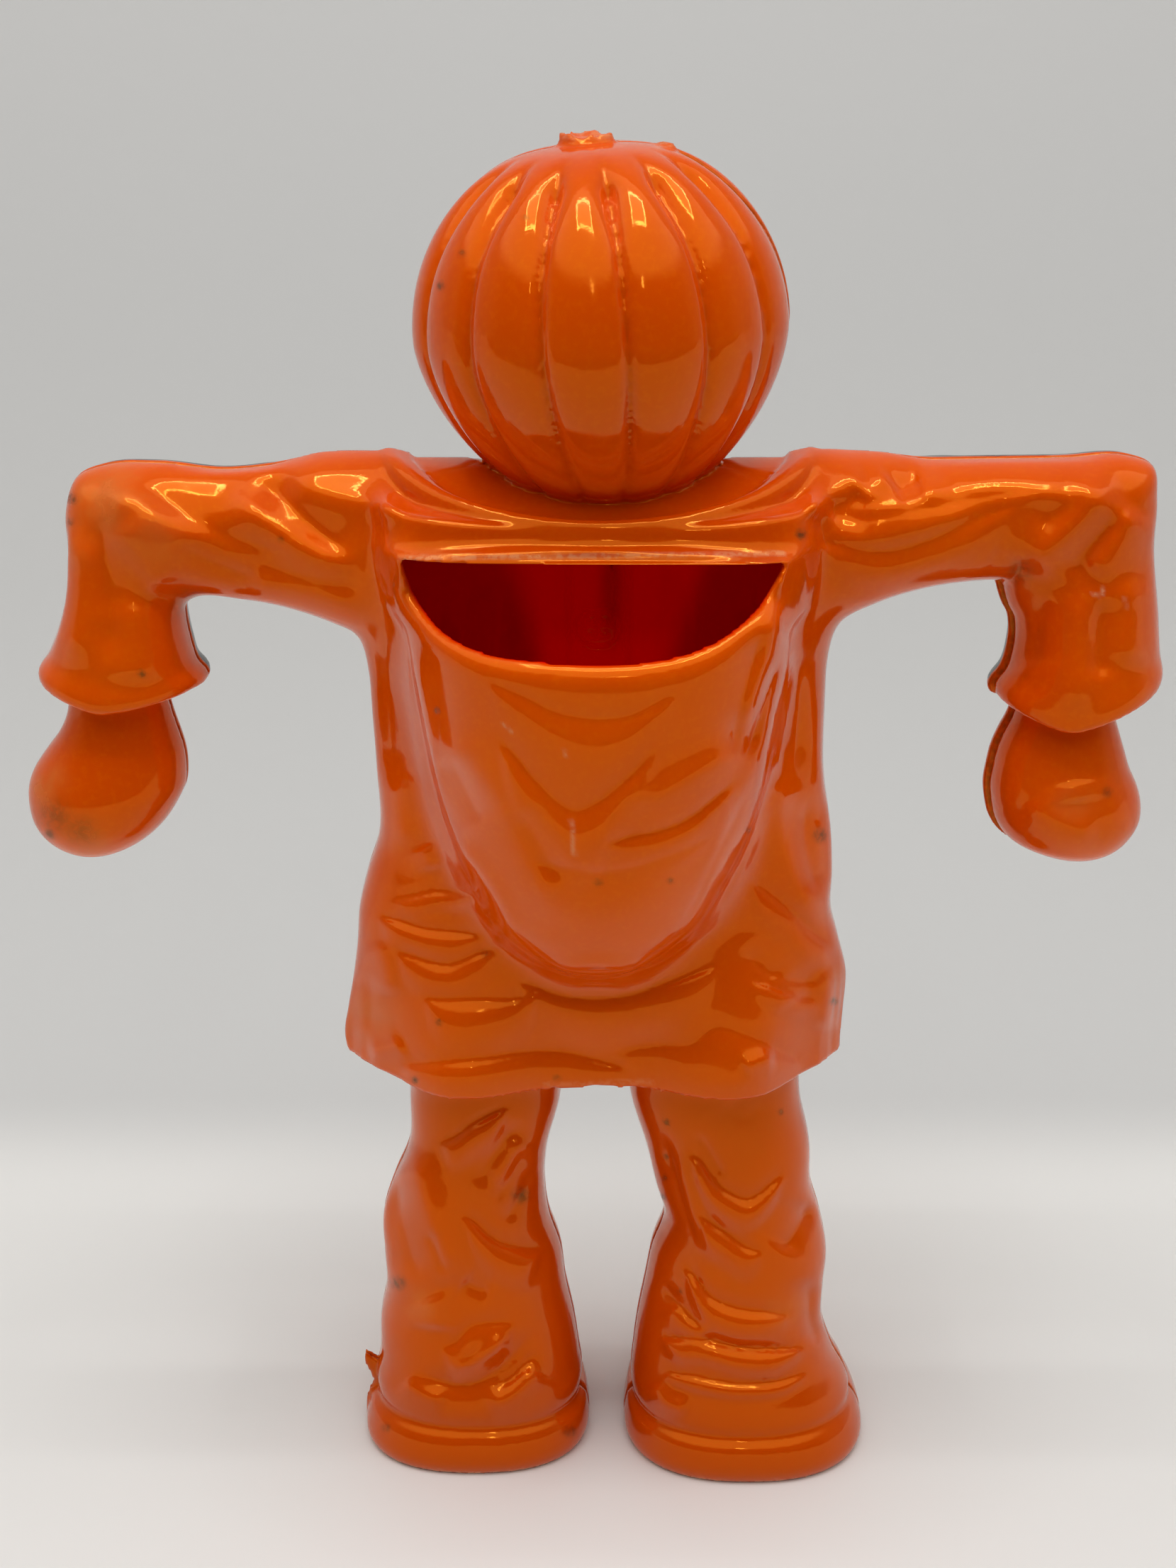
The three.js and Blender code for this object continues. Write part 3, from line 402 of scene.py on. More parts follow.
def stem():
    """Torn stub of the stem, with a hollow in its top."""
    angle = np.arange(72) / 72 * 2 * math.pi
    ragged = 0.16 * np.sin(3 * angle + 0.6) + 0.12 * np.sin(7 * angle + 2) + 0.1 * np.sin(12 * angle)
    # Radius, height and share of the torn edge
    table = [
        (2.9, 130.5, 0), (2.75, 132.2, 0.2), (2.45, 132.9, 0.6), (2.4, 133.55, 1),
        (2.15, 133.8, 1), (1.6, 133.5, 0.6), (0.9, 133.3, 0),
    ]
    rings = []
    for radius, height, torn in table:
        reach = radius * (1 + 0.05 * torn * np.sin(5 * angle + 1))
        x = STEM_X + reach * np.cos(angle)
        rings.append(np.stack([x, 0.92 * reach * np.sin(angle), height + torn * ragged], 1))
    return skin(np.array(rings))


def gate_mark():
    """Broken end of the moulding gate, beside the stem."""
    angle = np.arange(48) / 48 * 2 * math.pi
    rings = []
    for radius, height in [(1.3, 131.6), (1.15, 132.6), (0.9, 132.95), (0.4, 133.05)]:
        lumpy = radius * (1 + 0.18 * np.sin(3 * angle + radius))
        x = GATE_X + lumpy * np.cos(angle)
        z = height + 0.12 * np.sin(4 * angle)
        rings.append(np.stack([x, 0.8 * lumpy * np.sin(angle), z], 1))
    return skin(np.array(rings))


# Distance field

def axes():
    """The three coordinates of the grid's points, mm, each along its own axis."""
    made = []
    for i in range(3):
        line = ((np.arange(SHAPE[i]) + LOW_INDEX[i]) * VOXEL).astype(np.float32)
        made.append(line.reshape([-1 if j == i else 1 for j in range(3)]))
    return made


def join(field, mesh, blend):
    """Adds a closed mesh to the field, with a fillet as wide as `blend` where they meet."""
    points, triangles, quads = mesh
    grid = vdb.FloatGrid.createLevelSetFromPolygons(
        points.astype(np.float32),
        triangles=triangles.astype(np.uint32),
        quads=quads.astype(np.uint32),
        transform=vdb.createLinearTransform(voxelSize=VOXEL),
        halfWidth=BAND / VOXEL,
    )
    margin = BAND / VOXEL + 2
    low = np.maximum(np.floor(points.min(0) / VOXEL - margin).astype(int), LOW_INDEX)
    high = np.minimum(np.ceil(points.max(0) / VOXEL + margin).astype(int), LOW_INDEX + SHAPE - 1)
    near = np.empty(high - low + 1, np.float32)
    grid.copyToArray(near, ijk=tuple(int(v) for v in low))
    window = tuple(slice(a, b) for a, b in zip(low - LOW_INDEX, high - LOW_INDEX + 1))
    old = field[window]
    fillet = np.maximum(blend - np.abs(old - near), 0) ** 2 / (4 * blend)
    fillet[np.maximum(old, near) > 0.9 * BAND] = 0
    field[window] = np.minimum(old, near) - fillet


def round_cut(field, cutter, rounding):
    """Takes the cutter's inside away from the field, with edges as round as `rounding`."""
    gap = np.maximum(rounding - np.abs(field + cutter), 0)
    return np.maximum(field, -cutter) + gap**2 / (4 * rounding)


def neck_bowl():
    """Hollow that the head sits in, inside the collar's rim."""
    x, y, z = axes()
    reach = np.sqrt((x / BOWL_WIDTH) ** 2 + (y / BOWL_DEPTH) ** 2)
    side = (reach - 1) * BOWL_DEPTH
    floor = 104.2 - 3.8 * (y / BOWL_DEPTH) ** 2 - z
    return np.maximum(side, floor * 0.9)


def slide(window, places, axis):
    """Fills part of the field with what it holds at other places along one axis, counted in cells."""
    base = np.clip(np.floor(places).astype(int), 0, window.shape[axis] - 2)
    share = (places - base).astype(np.float32)
    base = np.broadcast_to(base, window.shape)
    first = np.take_along_axis(window, base, axis)
    second = np.take_along_axis(window, base + 1, axis)
    window[:] = first * (1 - share) + second * share


def lift_nape(field):
    """Raises the back half's edge beside the neck, and lets the front half fall away behind it."""
    x, y, z = axes()
    beside = smooth_step(np.abs(x), 8, 12.5) * smooth_step(-np.abs(x), -31, -25)
    shift = np.where(y < 0, np.minimum(-0.8 - 0.5 * y, 1.2), -0.8 * smooth_step(-y, -9, -3))
    shift = shift * beside * smooth_step(z, 97, 100.5)
    low, high = [int(round((level - LOW[2]) / VOXEL)) for level in (93, 112)]
    places = np.arange(high - low)[None, None] + np.broadcast_to(shift, SHAPE)[:, :, low:high] / VOXEL
    slide(field[:, :, low:high], places, 2)


def slip_right_arm(field):
    """The halves don't meet quite: the back of the right forearm and hand lies further out."""
    x, y, z = axes()
    slip = SLIP * np.clip((x + 52) / 15, 0, 1) * smooth_step(-x, 32, 36.5) * smooth_step(-z, -97, -93)
    low, high = [int((level - LOW[0]) / VOXEL) for level in (-60, -30)]
    behind = int(round(-LOW_INDEX[1])) + 1
    places = np.arange(high - low)[:, None, None] + (slip / VOXEL)[low:high]
    slide(field[low:high, behind:], places, 0)


def grow_body():
    field = np.full(SHAPE, BAND, np.float32)
    for mesh, blend in [(coat(), 0.5), (yoke(), 1.0), (arm(1), 1.8), (arm(-1), 1.8), (collar(), 0.5)]:
        join(field, mesh, blend)
    field = round_cut(field, neck_bowl(), 0.4)
    lift_nape(field)
    join(field, sack(), 3.0)
    for form, blend in [(leg, 0.4), (boot, 0.4), (hand, 0.3)]:
        for side in (1, -1):
            join(field, form(side), blend)
    for form, blend in [(head, 0.25), (stem, 0.5), (gate_mark, 0.3), (flash, 0.2)]:
        join(field, form(), blend)
    return field


def outline_distance(x, z, outline):
    """Signed distance in the x-z plane to a closed outline, negative inside."""
    nearest = np.full(np.broadcast(x, z).shape, 1e9, np.float32)
    inside = np.zeros(nearest.shape, bool)
    for (x0, z0), (x1, z1) in zip(outline, np.roll(outline, -1, axis=0)):
        dx, dz = x1 - x0, z1 - z0
        t = np.clip(((x - x0) * dx + (z - z0) * dz) / (dx * dx + dz * dz + 1e-9), 0, 1)
        nearest = np.minimum(nearest, (x - x0 - t * dx) ** 2 + (z - z0 - t * dz) ** 2)
        crosses = ((z0 > z) != (z1 > z)) & (x < x0 + (z - z0) * dx / (dz if dz else 1e-9))
        inside ^= crosses
    return np.where(inside, -1, 1) * np.sqrt(nearest)


def mouth_outline():
    """D of the mouth, straight along the yoke and dipped along the lip."""
    rim = [
        (17.6, 98.5), (17.3, 97.0), (16.4, 95.1), (14.4, 93.3), (11.5, 92.3), (4.6, 91.75),
        (0.0, 91.6), (-5.3, 91.95), (-9.9, 93.0), (-13.7, 95.1), (-15.7, 97.2), (-16.2, 98.3),
    ]
    return smooth_rows([(x, z, 0, 0) for x, z in rim], 4)[:, :2]


def along_slot(x, z, width):
    """1 along the narrow upright slot seen inside the mouth, 0 beside it."""
    return np.exp(-(((x - SLOT_X) / width) ** 2)) * smooth_step(z, 82, 88)


def carve_shell(body):
    """Thin shell inside the body's skin, open at the sack's mouth."""
    x, y, z = axes()
    prism = outline_distance(x[:, 0], z[:, 0], mouth_outline())[:, None]
    cutter = np.maximum(prism, YOKE_DEPTH / 2 - y)
    lip = 0.35 + 2.05 * smooth_step(-z, -97.5, -95)
    slot = along_slot(x, z, 0.9) * smooth_step(-y, 2, 4)
    inner = round_cut(-body - WALL + SLOT_DEPTH * slot, cutter, 0.5)
    return np.maximum(round_cut(body, cutter, lip), inner)


def mesh_of(field):
    grid = vdb.FloatGrid(BAND)
    grid.transform = vdb.createLinearTransform(voxelSize=VOXEL)
    grid.copyFromArray(np.clip(field, -BAND, BAND), ijk=tuple(int(v) for v in LOW_INDEX))
    points, quads = grid.convertToQuads(isovalue=0.0)
    return np.array(points, float), np.array(quads)


def sample(field, points):
    """The field's value at each point."""
    place = points / VOXEL - LOW_INDEX
    base = np.clip(np.floor(place).astype(int), 0, SHAPE - 2)
    f = place - base
    total = np.zeros(len(points))
    for dx in (0, 1):
        for dy in (0, 1):
            for dz in (0, 1):
                weight = np.abs(1 - dx - f[:, 0]) * np.abs(1 - dy - f[:, 1]) * np.abs(1 - dz - f[:, 2])
                total += weight * field[base[:, 0] + dx, base[:, 1] + dy, base[:, 2] + dz]
    return total


def make_object(name, points, faces):
    mesh = bpy.data.meshes.new(name)
    mesh.vertices.add(len(points))
    mesh.vertices.foreach_set("co", ((points + [0, SEAM_Y, 0]) * MM).astype(np.float32).ravel())
    mesh.loops.add(faces.size)
    mesh.loops.foreach_set("vertex_index", faces.astype(np.int32).ravel())
    mesh.polygons.add(len(faces))
    mesh.polygons.foreach_set("loop_start", (np.arange(len(faces)) * 4).astype(np.int32))
    mesh.polygons.foreach_set("use_smooth", np.ones(len(faces), bool))
    mesh.update()
    mesh.validate()
    piece = bpy.data.objects.new(name, mesh)
    bpy.context.scene.collection.objects.link(piece)
    return piece


# Folds of the clothes. Each is (height, width on the left of its path, width on its right, then x and z
# of each point of the path), in mm, as it is seen in the photograph's view projected on the seam plane;
# x runs to the picture's left.
FOLDS = [
    # Left sleeve
    (0.8, 1.1, 2.2, 47, 101.7, 43, 100, 39, 97.8, 35, 96.2),
    (-0.6, 1.6, 0.9, 43, 102.6, 39.5, 100.4, 36, 98, 32, 96.6, 28, 95),
    (1.1, 0.9, 1.6, 34.6, 101.6, 31, 98.7, 27, 95.9, 22.8, 94.1),
    (-0.9, 1.4, 0.8, 32, 103, 28.5, 100.2, 25.6, 97.5, 22.6, 95.4),
    (0.8, 0.9, 1.3, 29.5, 102.9, 26, 101.6, 22, 100.7, 17.5, 100.2),
    (0.25, 0.6, 0.6, 41, 103.2, 34, 103.4, 27, 103.6, 20, 103.2),
    (-0.6, 0.8, 0.9, 39.8, 96.8, 37, 95.3, 34, 94, 31, 93.1),
    (0.5, 0.8, 1.4, 34.5, 93.4, 30, 92.6, 26, 91.7, 22, 90.4),
    (-0.4, 1.2, 0.8, 33, 95, 29, 93.9, 25, 92.8, 21.5, 91.9),
    (0.5, 1.3, 1.3, 48.6, 99, 48.6, 94, 49.4, 89, 50.5, 84),
    (-0.5, 0.9, 0.9, 46.6, 99.5, 46.2, 95, 46, 90, 46.8, 84.5),
    (0.6, 1.5, 1.8, 45.2, 99, 43.6, 96.5, 42, 94, 40.6, 91.5),
    (0.5, 2, 2, 44.2, 92, 43.6, 87, 43.5, 82),
    # Right sleeve
    (0.8, 0.9, 1, -19.2, 99.2, -20.5, 100.8, -22.5, 101.9, -25, 103.2),
    (-0.6, 0.8, 0.8, -21, 99.8, -23, 100.6, -24.6, 101.8),
    (0.9, 0.8, 1.2, -23.2, 98.9, -25.5, 99.8, -28, 100.1, -30, 100.8, -32.3, 103.2),
    (0.5, 0.6, 0.6, -25.2, 100.6, -25.4, 102, -26.8, 103.3),
    (-0.6, 0.8, 0.8, -27.2, 101.6, -28.6, 102.4, -29.8, 102.8),
    (0.7, 1.6, 0.9, -30, 100.6, -33, 101.4, -37, 101.9, -41, 101.6, -45, 101.5, -48.5, 102.8),
    (0.5, 0.9, 1, -20.5, 97.6, -25, 96.9, -29, 97.6, -33, 99.1, -36.5, 100.2),
    (0.4, 1.3, 2, -23, 93.6, -28, 94, -33, 95.4, -37, 97.6),
    (-0.25, 0.8, 0.8, -36.3, 95.9, -38.3, 95.2, -39.8, 93.8),
    (0.7, 1.1, 1.6, -40, 93.4, -42, 95.9, -45, 99.2, -48.8, 102),
    (-0.2, 1.3, 0.9, -40.5, 98.1, -42.5, 99.6, -45.5, 101.6),
    (0.6, 0.9, 1.3, -45.8, 93.3, -47.8, 96.2, -50.2, 100.3),
    (-0.5, 0.9, 0.7, -43.8, 93, -46, 96.3, -48.6, 100),
    (0.6, 1, 2.2, -45.3, 93, -45, 88, -45.3, 83, -45.5, 79),
    (-0.5, 1.1, 0.8, -47.4, 92, -47.2, 88, -47.6, 83), (0.4, 1.2, 1.2, -49.6, 94, -49.8, 89, -50.3, 84),
    (-0.35, 1.2, 1.2, -41.8, 92, -41, 88, -41, 84),
    # Yoke
    (-0.1, 0.4, 0.4, 18.6, 97.1, 10, 97.3, 0, 97.3, -10, 97, -18.6, 96.9),
    (0.3, 0.35, 0.35, 18.8, 95.6, 0, 95.9, -17.2, 95.3),
    # Sack
    (0.5, 1.4, 1.3, 17.3, 79, 13, 75.4, 9.8, 71.4, 7.6, 67, 5.8, 61.5, 4, 57),
    (-0.5, 1.2, 1.2, 14.5, 76, 12.8, 72, 11.3, 68.3), (-0.4, 1.3, 1.3, 8, 70.5, 5.6, 66, 3.8, 62),
    (0.5, 1, 1.3, -2, 70.3, -6, 71.7, -10, 74, -14, 76.6),
    (0.3, 0.6, 0.6, 6, 53.6, 3, 53.1, 0, 53.5, -3, 53.1, -6, 53.9),
    (0.35, 0.6, 0.7, 18.8, 91, 17.7, 83, 16.8, 76, 15.7, 70, 14.2, 65.4, 12.6, 60.8, 10, 56.4),
    (0.2, 0.5, 0.6, 17.8, 88, 17, 82, 16, 75, 14.8, 69),
    (0.3, 0.6, 0.7, 15, 68, 12.6, 65, 10.5, 61.8, 9, 58.6, 7.6, 55.6),
    (-0.2, 0.7, 0.7, 14, 65, 12.3, 62, 10.6, 58.8, 9.2, 56.4),
    (0.7, 0.7, 0.8, -17.6, 91.5, -16.2, 86.5, -14.8, 82, -13.6, 77.6),
    (-0.5, 0.6, 0.6, -15.8, 89, -14.3, 83.5, -13, 77.5, -13.5, 75.5),
    (-0.5, 0.5, 0.5, -17.3, 86, -16, 82, -14.6, 77, -14, 75),
    (0.3, 0.6, 0.6, -18, 88, -16.6, 81.5, -15.1, 75, -13.4, 71, -11.8, 66.5, -9.9, 61, -7.6, 56.8),
    (-0.2, 0.5, 0.5, -14.8, 73, -12.9, 68.5, -11, 64, -9.2, 59.6, -7.4, 56.6),
    (0.3, 0.7, 0.6, -18.4, 88, -16.9, 79, -15.5, 71, -14.2, 64, -12, 59.6, -8, 56.2),
    # Coat, left of the sack
    (0.5, 0.7, 0.7, 17.5, 66.5, 16.9, 65, 16.4, 63.6),
    (0.5, 0.8, 0.8, 22.2, 56.5, 21.2, 53.6, 21.3, 50), (-0.3, 0.9, 0.9, 23, 53, 22.8, 49, 23, 46),
    (0.5, 0.7, 0.8, 23.5, 43.9, 21.5, 44.2, 19.5, 45.1), (-0.5, 1, 1, 20, 90, 20, 84, 19.8, 78, 20, 72),
    (0.4, 0.9, 0.9, 19, 74, 19.3, 69, 18.2, 66),
    # Coat, below the sack
    (0.6, 0.6, 0.7, -14.5, 42, -16.5, 43, -18, 43.2),
    # Coat, right of the sack
    (-0.25, 0.6, 0.6, -17.4, 84, -17.3, 79, -17.1, 74),
    (-0.45, 0.9, 0.9, -18.9, 87, -19, 81, -18.9, 74),
    (0.3, 0.8, 0.8, -20, 86, -20.5, 80, -21, 74.5, -21.5, 70),
    (0.8, 1.1, 0.8, -19.4, 75, -18, 71, -18, 67.5, -19.1, 63.8, -20.8, 60.4, -22, 57),
    (-0.7, 1, 0.9, -20.4, 72, -20, 68, -20.8, 64, -22, 60.6),
    (-0.6, 1, 0.7, -14.3, 56, -16, 53.7, -18.6, 52.1, -23.4, 51.7),
    (0.3, 1, 1, -17.4, 52.8, -18.8, 50.9, -20, 49.4), (0.5, 0.8, 0.9, -22.2, 53.4, -23, 50, -22.4, 46),
    # Left leg
    (-0.6, 0.6, 0.7, 7.8, 36.6, 9.6, 33.4, 11.2, 31, 12.3, 28),
    (0.4, 0.7, 0.7, 7.8, 34.5, 9.4, 31.5, 11, 28.5), (-0.4, 0.6, 0.6, 7.4, 33, 9.3, 29.2, 10.9, 26.3),
    (-0.4, 0.6, 0.6, 6.8, 30.8, 8, 27.6, 9.9, 23.8),
    (0.8, 1.6, 1, 19, 34, 18.4, 29, 17.2, 24.4, 16, 20, 15.2, 16),
    (-0.6, 1, 1.4, 20.8, 30, 20.4, 25, 19.4, 20, 18.6, 17),
    (-0.4, 0.5, 0.5, 17.8, 23.5, 16.8, 20.6, 15.9, 17.8),
    (-0.5, 0.8, 0.8, 14.4, 17.4, 12.8, 16.4, 11.2, 15.9),
    (0.5, 0.5, 0.6, 15.8, 6.3, 13.6, 7, 11.4, 8.8, 9.8, 11),
    (0.5, 1.3, 1.3, 18.2, 15.4, 17.4, 13.6, 17.6, 11),
    (-0.6, 0.8, 0.8, 19.4, 6.6, 16.6, 4.8, 13.4, 4.6, 10.4, 6.4, 8, 9.4, 6.6, 12),
    (0.5, 0.7, 0.8, 21.2, 4.9, 18.6, 3.2, 16, 2.3),
    (0.65, 0.7, 0.9, 12.4, 1.7, 10, 2.6, 8, 4.2, 6.2, 6.8),
    (-0.4, 0.5, 0.5, 11.4, 3.8, 8.6, 5.9, 6.4, 9),
    # Right leg
    (-0.2, 1.2, 1.2, -12.6, 38.4, -14.8, 36.6, -17.4, 38.4),
    (-0.4, 0.4, 0.5, -10, 35, -11.6, 32, -13.2, 29.2),
    (-0.6, 0.5, 0.6, -6.4, 35.4, -7.8, 30.6, -9, 26, -10.9, 19.4),
    (0.6, 0.8, 0.7, -7.8, 33, -8.9, 28, -10.2, 23, -12, 19),
    (-0.8, 1, 1.2, -22, 27, -20.6, 23.4, -19, 20.4),
    (-0.5, 0.5, 0.6, -6.6, 17.4, -8.8, 14.2, -11.4, 11),
    (0.5, 0.7, 0.9, -7.4, 14.6, -9.4, 11.8, -12, 10.2), (0.6, 0.8, 0.7, -5.6, 5, -7.2, 2.2, -10, 1.2),
    (-0.5, 0.8, 0.8, -22, 18, -22.4, 13, -23.6, 9),
    # Right hand
    (0.4, 1, 1.2, -41, 71.2, -43.4, 69.4, -46.6, 68, -49, 67.8),
    (0.25, 1.6, 1.6, -45.8, 73.2, -46.2, 70.8),
]

# Folds that hang over: (rise, length of the slope down to its foot, length of the slope below its crest,
# then x, foot and crest of each place along it), in the same view. The short slope between foot and
# crest looks up.
TERRACES = [
    # Sleeves
    (0.4, 1.5, 2.5, -21, 99.4, 99, -24, 99, 97.6, -28, 99.6, 98, -32, 100.4, 99, -36, 101.2, 100.2,
     -40, 101.6, 101.3),
    (0.45, 1.5, 2.5, -20.5, 96.8, 96.4, -23, 96.4, 94.8, -27, 96, 94.2, -31, 97.2, 95.4, -35, 99, 97.4,
     -38.5, 100.2, 99.8),
    # Sack
    (0.55, 1.5, 5, 10.5, 83, 82.8, 9, 82.4, 81, 7, 81.5, 79.3, 4, 80, 77.2, 0, 79.4, 75.8, -3, 79.7,
     77.2, -5, 80.6, 79.2, -7, 81.7, 81.3),
    (0.9, 3, 5, 9.5, 77, 76.6, 8, 75.4, 73, 6.5, 73.4, 70.8, 4.5, 71.3, 68.2, 2, 70, 65.8, 0.3, 70.8,
     66.6, -1.5, 72.2, 69.4, -3.5, 73.9, 72.2, -5.5, 76.3, 75.9),
    (0.6, 1.5, 4, -1, 66.6, 66.2, -3, 67.2, 66, -6, 67.9, 66.4, -9, 69.3, 67.8, -11, 71, 69.8, -13,
     72.6, 72.2),
    (0.4, 1, 5, 6.5, 64.6, 64, 5, 64.4, 62, 3, 64, 60.3, 0, 63.5, 59.4, -3, 64, 60.5, -6, 65, 62.7, -9,
     66.2, 65, -10.5, 67, 66.6),
    # Coat, left of the sack
    (0.5, 1.5, 1.5, 20, 60.6, 60.3, 18.5, 61, 59.9, 16, 61.6, 60.4, 13.5, 61.3, 60.4, 12.6, 61, 60.8),
    (0.7, 1, 3, 21.6, 58.7, 58.4, 20.5, 58.6, 57.4, 17, 57.5, 56, 14, 57.2, 55.8, 12, 56.9, 56.4),
    (0.7, 1.5, 3, 20, 55, 54.7, 19, 54.8, 53.3, 15, 53.7, 52, 12, 54.8, 53.4, 10, 55.3, 55),
    # Coat, below the sack
    (0.75, 2, 4, 17.4, 49.9, 49.6, 16, 49.9, 47.8, 11.5, 49.8, 47.2, 8.5, 49.9, 47.8, 7, 50.2, 48.9,
     6.2, 50.5, 50.3),
    (0.8, 2, 4, 7.8, 51.6, 51.3, 6.8, 51.4, 50, 4, 50.3, 48.5, 0, 49.9, 47.3, -3, 50.3, 47.7, -7, 51.8,
     49, -10, 53, 51, -11.8, 53.6, 53.3),
    (0.75, 2.5, 3, 19.8, 42.6, 42.3, 18, 42.7, 41.2, 12, 43.2, 41, 7, 44, 41.4, 4, 44, 41.6, 0, 43,
     41.5, -2.8, 42, 41.8),
    (0.75, 2.5, 3, -2, 43.8, 43.4, -4, 44.6, 42.2, -7, 44.8, 41.4, -9, 44.7, 41, -12, 46.6, 40.8, -15,
     45.6, 41, -18, 44.3, 41.8, -20.4, 42.8, 42.5),
    # Coat, right of the sack
    (0.6, 1.5, 3, -15, 62.6, 62.2, -16, 62, 60.2, -19, 59.6, 57.4, -21.5, 57, 55, -23, 55.6, 55.3),
    (0.5, 1, 2, -15, 52, 51.7, -17, 51.4, 50.3, -20, 50.3, 49, -22, 49.6, 49.3),
    # Left leg
    (0.9, 1, 3, 16, 33.6, 33.2, 15, 34.2, 32.4, 13, 35.8, 33.6, 11, 37, 35, 9.4, 37.6, 37.2),
    (0.9, 2, 3.5, 13.8, 25, 24.6, 12.7, 24.2, 22, 10, 21.8, 19.4, 7.5, 21.2, 18.8, 6, 21, 20.6),
    (0.65, 2, 3, 16.4, 9, 8.6, 15.3, 9.6, 7, 13.5, 11.6, 9, 10.5, 12.2, 9.8, 9, 12, 11.6),
    # Right leg
    (0.9, 2, 2.5, -9.6, 32.2, 31.8, -10.5, 31.6, 29.4, -13, 28.2, 26, -15.5, 27, 24.9, -17.5, 28.4,
     26.6, -19, 29.8, 29.4),
    (0.8, 2, 3, -10.6, 25, 24.6, -11.5, 24.4, 22.4, -13.5, 22.9, 20.6, -15.5, 21.3, 19.5, -17, 20.6,
     20.2),
    (0.9, 2, 3, -9.2, 18.6, 18.2, -10.2, 17.6, 15.6, -12, 15.2, 13, -14.5, 14, 11.8, -18, 13.4, 11.8,
     -20, 13, 12.6),
    (1, 1.5, 2, -6.8, 10.4, 10, -8.5, 10.4, 8.4, -11, 10.2, 8.2, -15, 9.2, 7, -19, 9, 7, -21.6, 9, 8.6),
    (0.6, 1, 1.2, -7, 6, 5.7, -10, 5.6, 4.4, -15, 4.6, 3.4, -20, 5, 4, -22, 5.8, 5.5),
]
# How far the cloth dips at a terrace's foot, as a share of its rise
TERRACE_DIP = 0.35

# Folds of the front, which the photograph doesn't show, seen straight from the front
FRONT_FOLDS = [
    (0.8, 1.3, 1.7, 8, 96, 10, 84, 9.4, 72, 11.5, 58, 12, 48),
    (-0.6, 1.2, 1.2, 12.4, 92, 13.6, 80, 13, 68, 15, 56),
    (0.7, 1.2, 1.6, 17, 92, 16.4, 80, 17.4, 68, 18.5, 54, 19, 47),
    (0.8, 1.4, 1.5, -8, 96, -9.4, 86, -8.8, 74, -11, 60, -12.4, 48),
    (-0.6, 1.2, 1.2, -12, 94, -13.2, 82, -12.4, 70, -14.6, 58),
    (0.7, 1.2, 1.5, -16.8, 92, -16, 80, -17.2, 66, -18.6, 52, -19, 47),
    (-0.6, 0.8, 1.2, 20, 64, 16, 61.6, 11, 62, 7, 64),
    (0.6, 0.8, 1.2, 20, 61.4, 16, 59.2, 11, 59.6, 7, 61.8),
    (-0.6, 0.8, 1.2, -7, 60, -11, 57.4, -16, 57.2, -20, 59.6),
    (0.6, 0.8, 1.2, -7, 57.6, -11, 55, -16, 54.8, -20, 57),
    (0.8, 1.2, 1.4, 46, 101.6, 39, 98.4, 32, 95.8, 24, 92.6),
    (-0.6, 1, 1, 43, 102.8, 36, 99.6, 29, 97, 23, 95), (0.7, 1, 1.3, 34, 103, 28, 100.6, 22, 98),
    (0.6, 1.2, 1.4, 47.5, 99, 46.4, 93, 47, 84.5), (0.5, 1.2, 1.3, 42.4, 96, 41.6, 90, 41.4, 84.5),
    (0.8, 1.2, 1.4, -47, 101.8, -40, 98.6, -33, 96.8, -25, 94),
    (-0.6, 1, 1, -44, 103, -37, 100.4, -30, 98.4, -24, 97),
    (0.7, 1, 1.3, -35, 103.4, -29, 101.4, -22, 99.4),
    (0.6, 1.2, 1.4, -48.6, 99, -47.6, 93, -48.4, 84.5),
    (0.5, 1.2, 1.3, -42.6, 97, -41.4, 91, -41.6, 84.5),
    (0.7, 1, 1.2, 17.6, 38, 16, 31, 13, 27.4, 9, 27),
    (-0.6, 0.8, 0.8, 18, 33, 15.6, 27.6, 12, 25, 8, 25),
    (0.7, 1, 1.2, 19.6, 22, 15.4, 18, 10.6, 17.4, 6.4, 20),
    (-0.6, 0.8, 0.8, 19.6, 19, 15.4, 15.2, 10.6, 14.8, 6.4, 17),
    (0.6, 0.9, 1, 20.6, 12, 15, 10.6, 9, 11, 5, 12.6),
    (0.7, 1, 1.2, -5, 36, -8, 29.6, -12, 26.8, -18, 27.6),
    (-0.6, 0.8, 0.8, -7, 30, -10, 26.4, -14, 24.6, -19, 25.4),
    (0.7, 1, 1.2, -7.4, 19.6, -12, 17, -17, 17.4, -21.6, 21),
    (-0.6, 0.8, 0.8, -7.4, 17, -12, 14.6, -17, 14.8, -21.6, 18),
    (0.6, 0.9, 1, -6, 12.4, -11, 10.8, -17, 10.8, -22.6, 12.6),
]

# Face of the pumpkin, mm from the head's centre, and placket and buttons of the coat, on the front
FACE_DEPTH = 0.6
FACE_CUTS = [
    [(3, 2), (8.4, 2), (5.1, 7.1)],
    [(-3, 2), (-8.4, 2), (-5.1, 7.1)],
    [(-1.7, -2), (1.7, -2), (0, 1.4)],
    [
        (-8.8, -3.4), (-5.1, -5.4), (-3.4, -4.1), (-1.7, -6.1), (1.7, -6.1), (3.4, -4.1), (5.1, -5.4),
        (8.8, -3.4), (6.1, -7.8), (2.4, -9.5), (0, -8.5), (-2.4, -9.5), (-6.1, -7.8),
    ],
]
PLACKET_HALF_WIDTH = 2.7
PLACKET_RISE = 0.5
BUTTON_RADIUS = 2.1
BUTTON_RISE = 1.2
BUTTON_HEIGHTS = [61.4, 73.5, 85.6]
HOLE_PLACE = 0.7
HOLE_RADIUS = 0.32
HOLE_DEPTH = 0.5

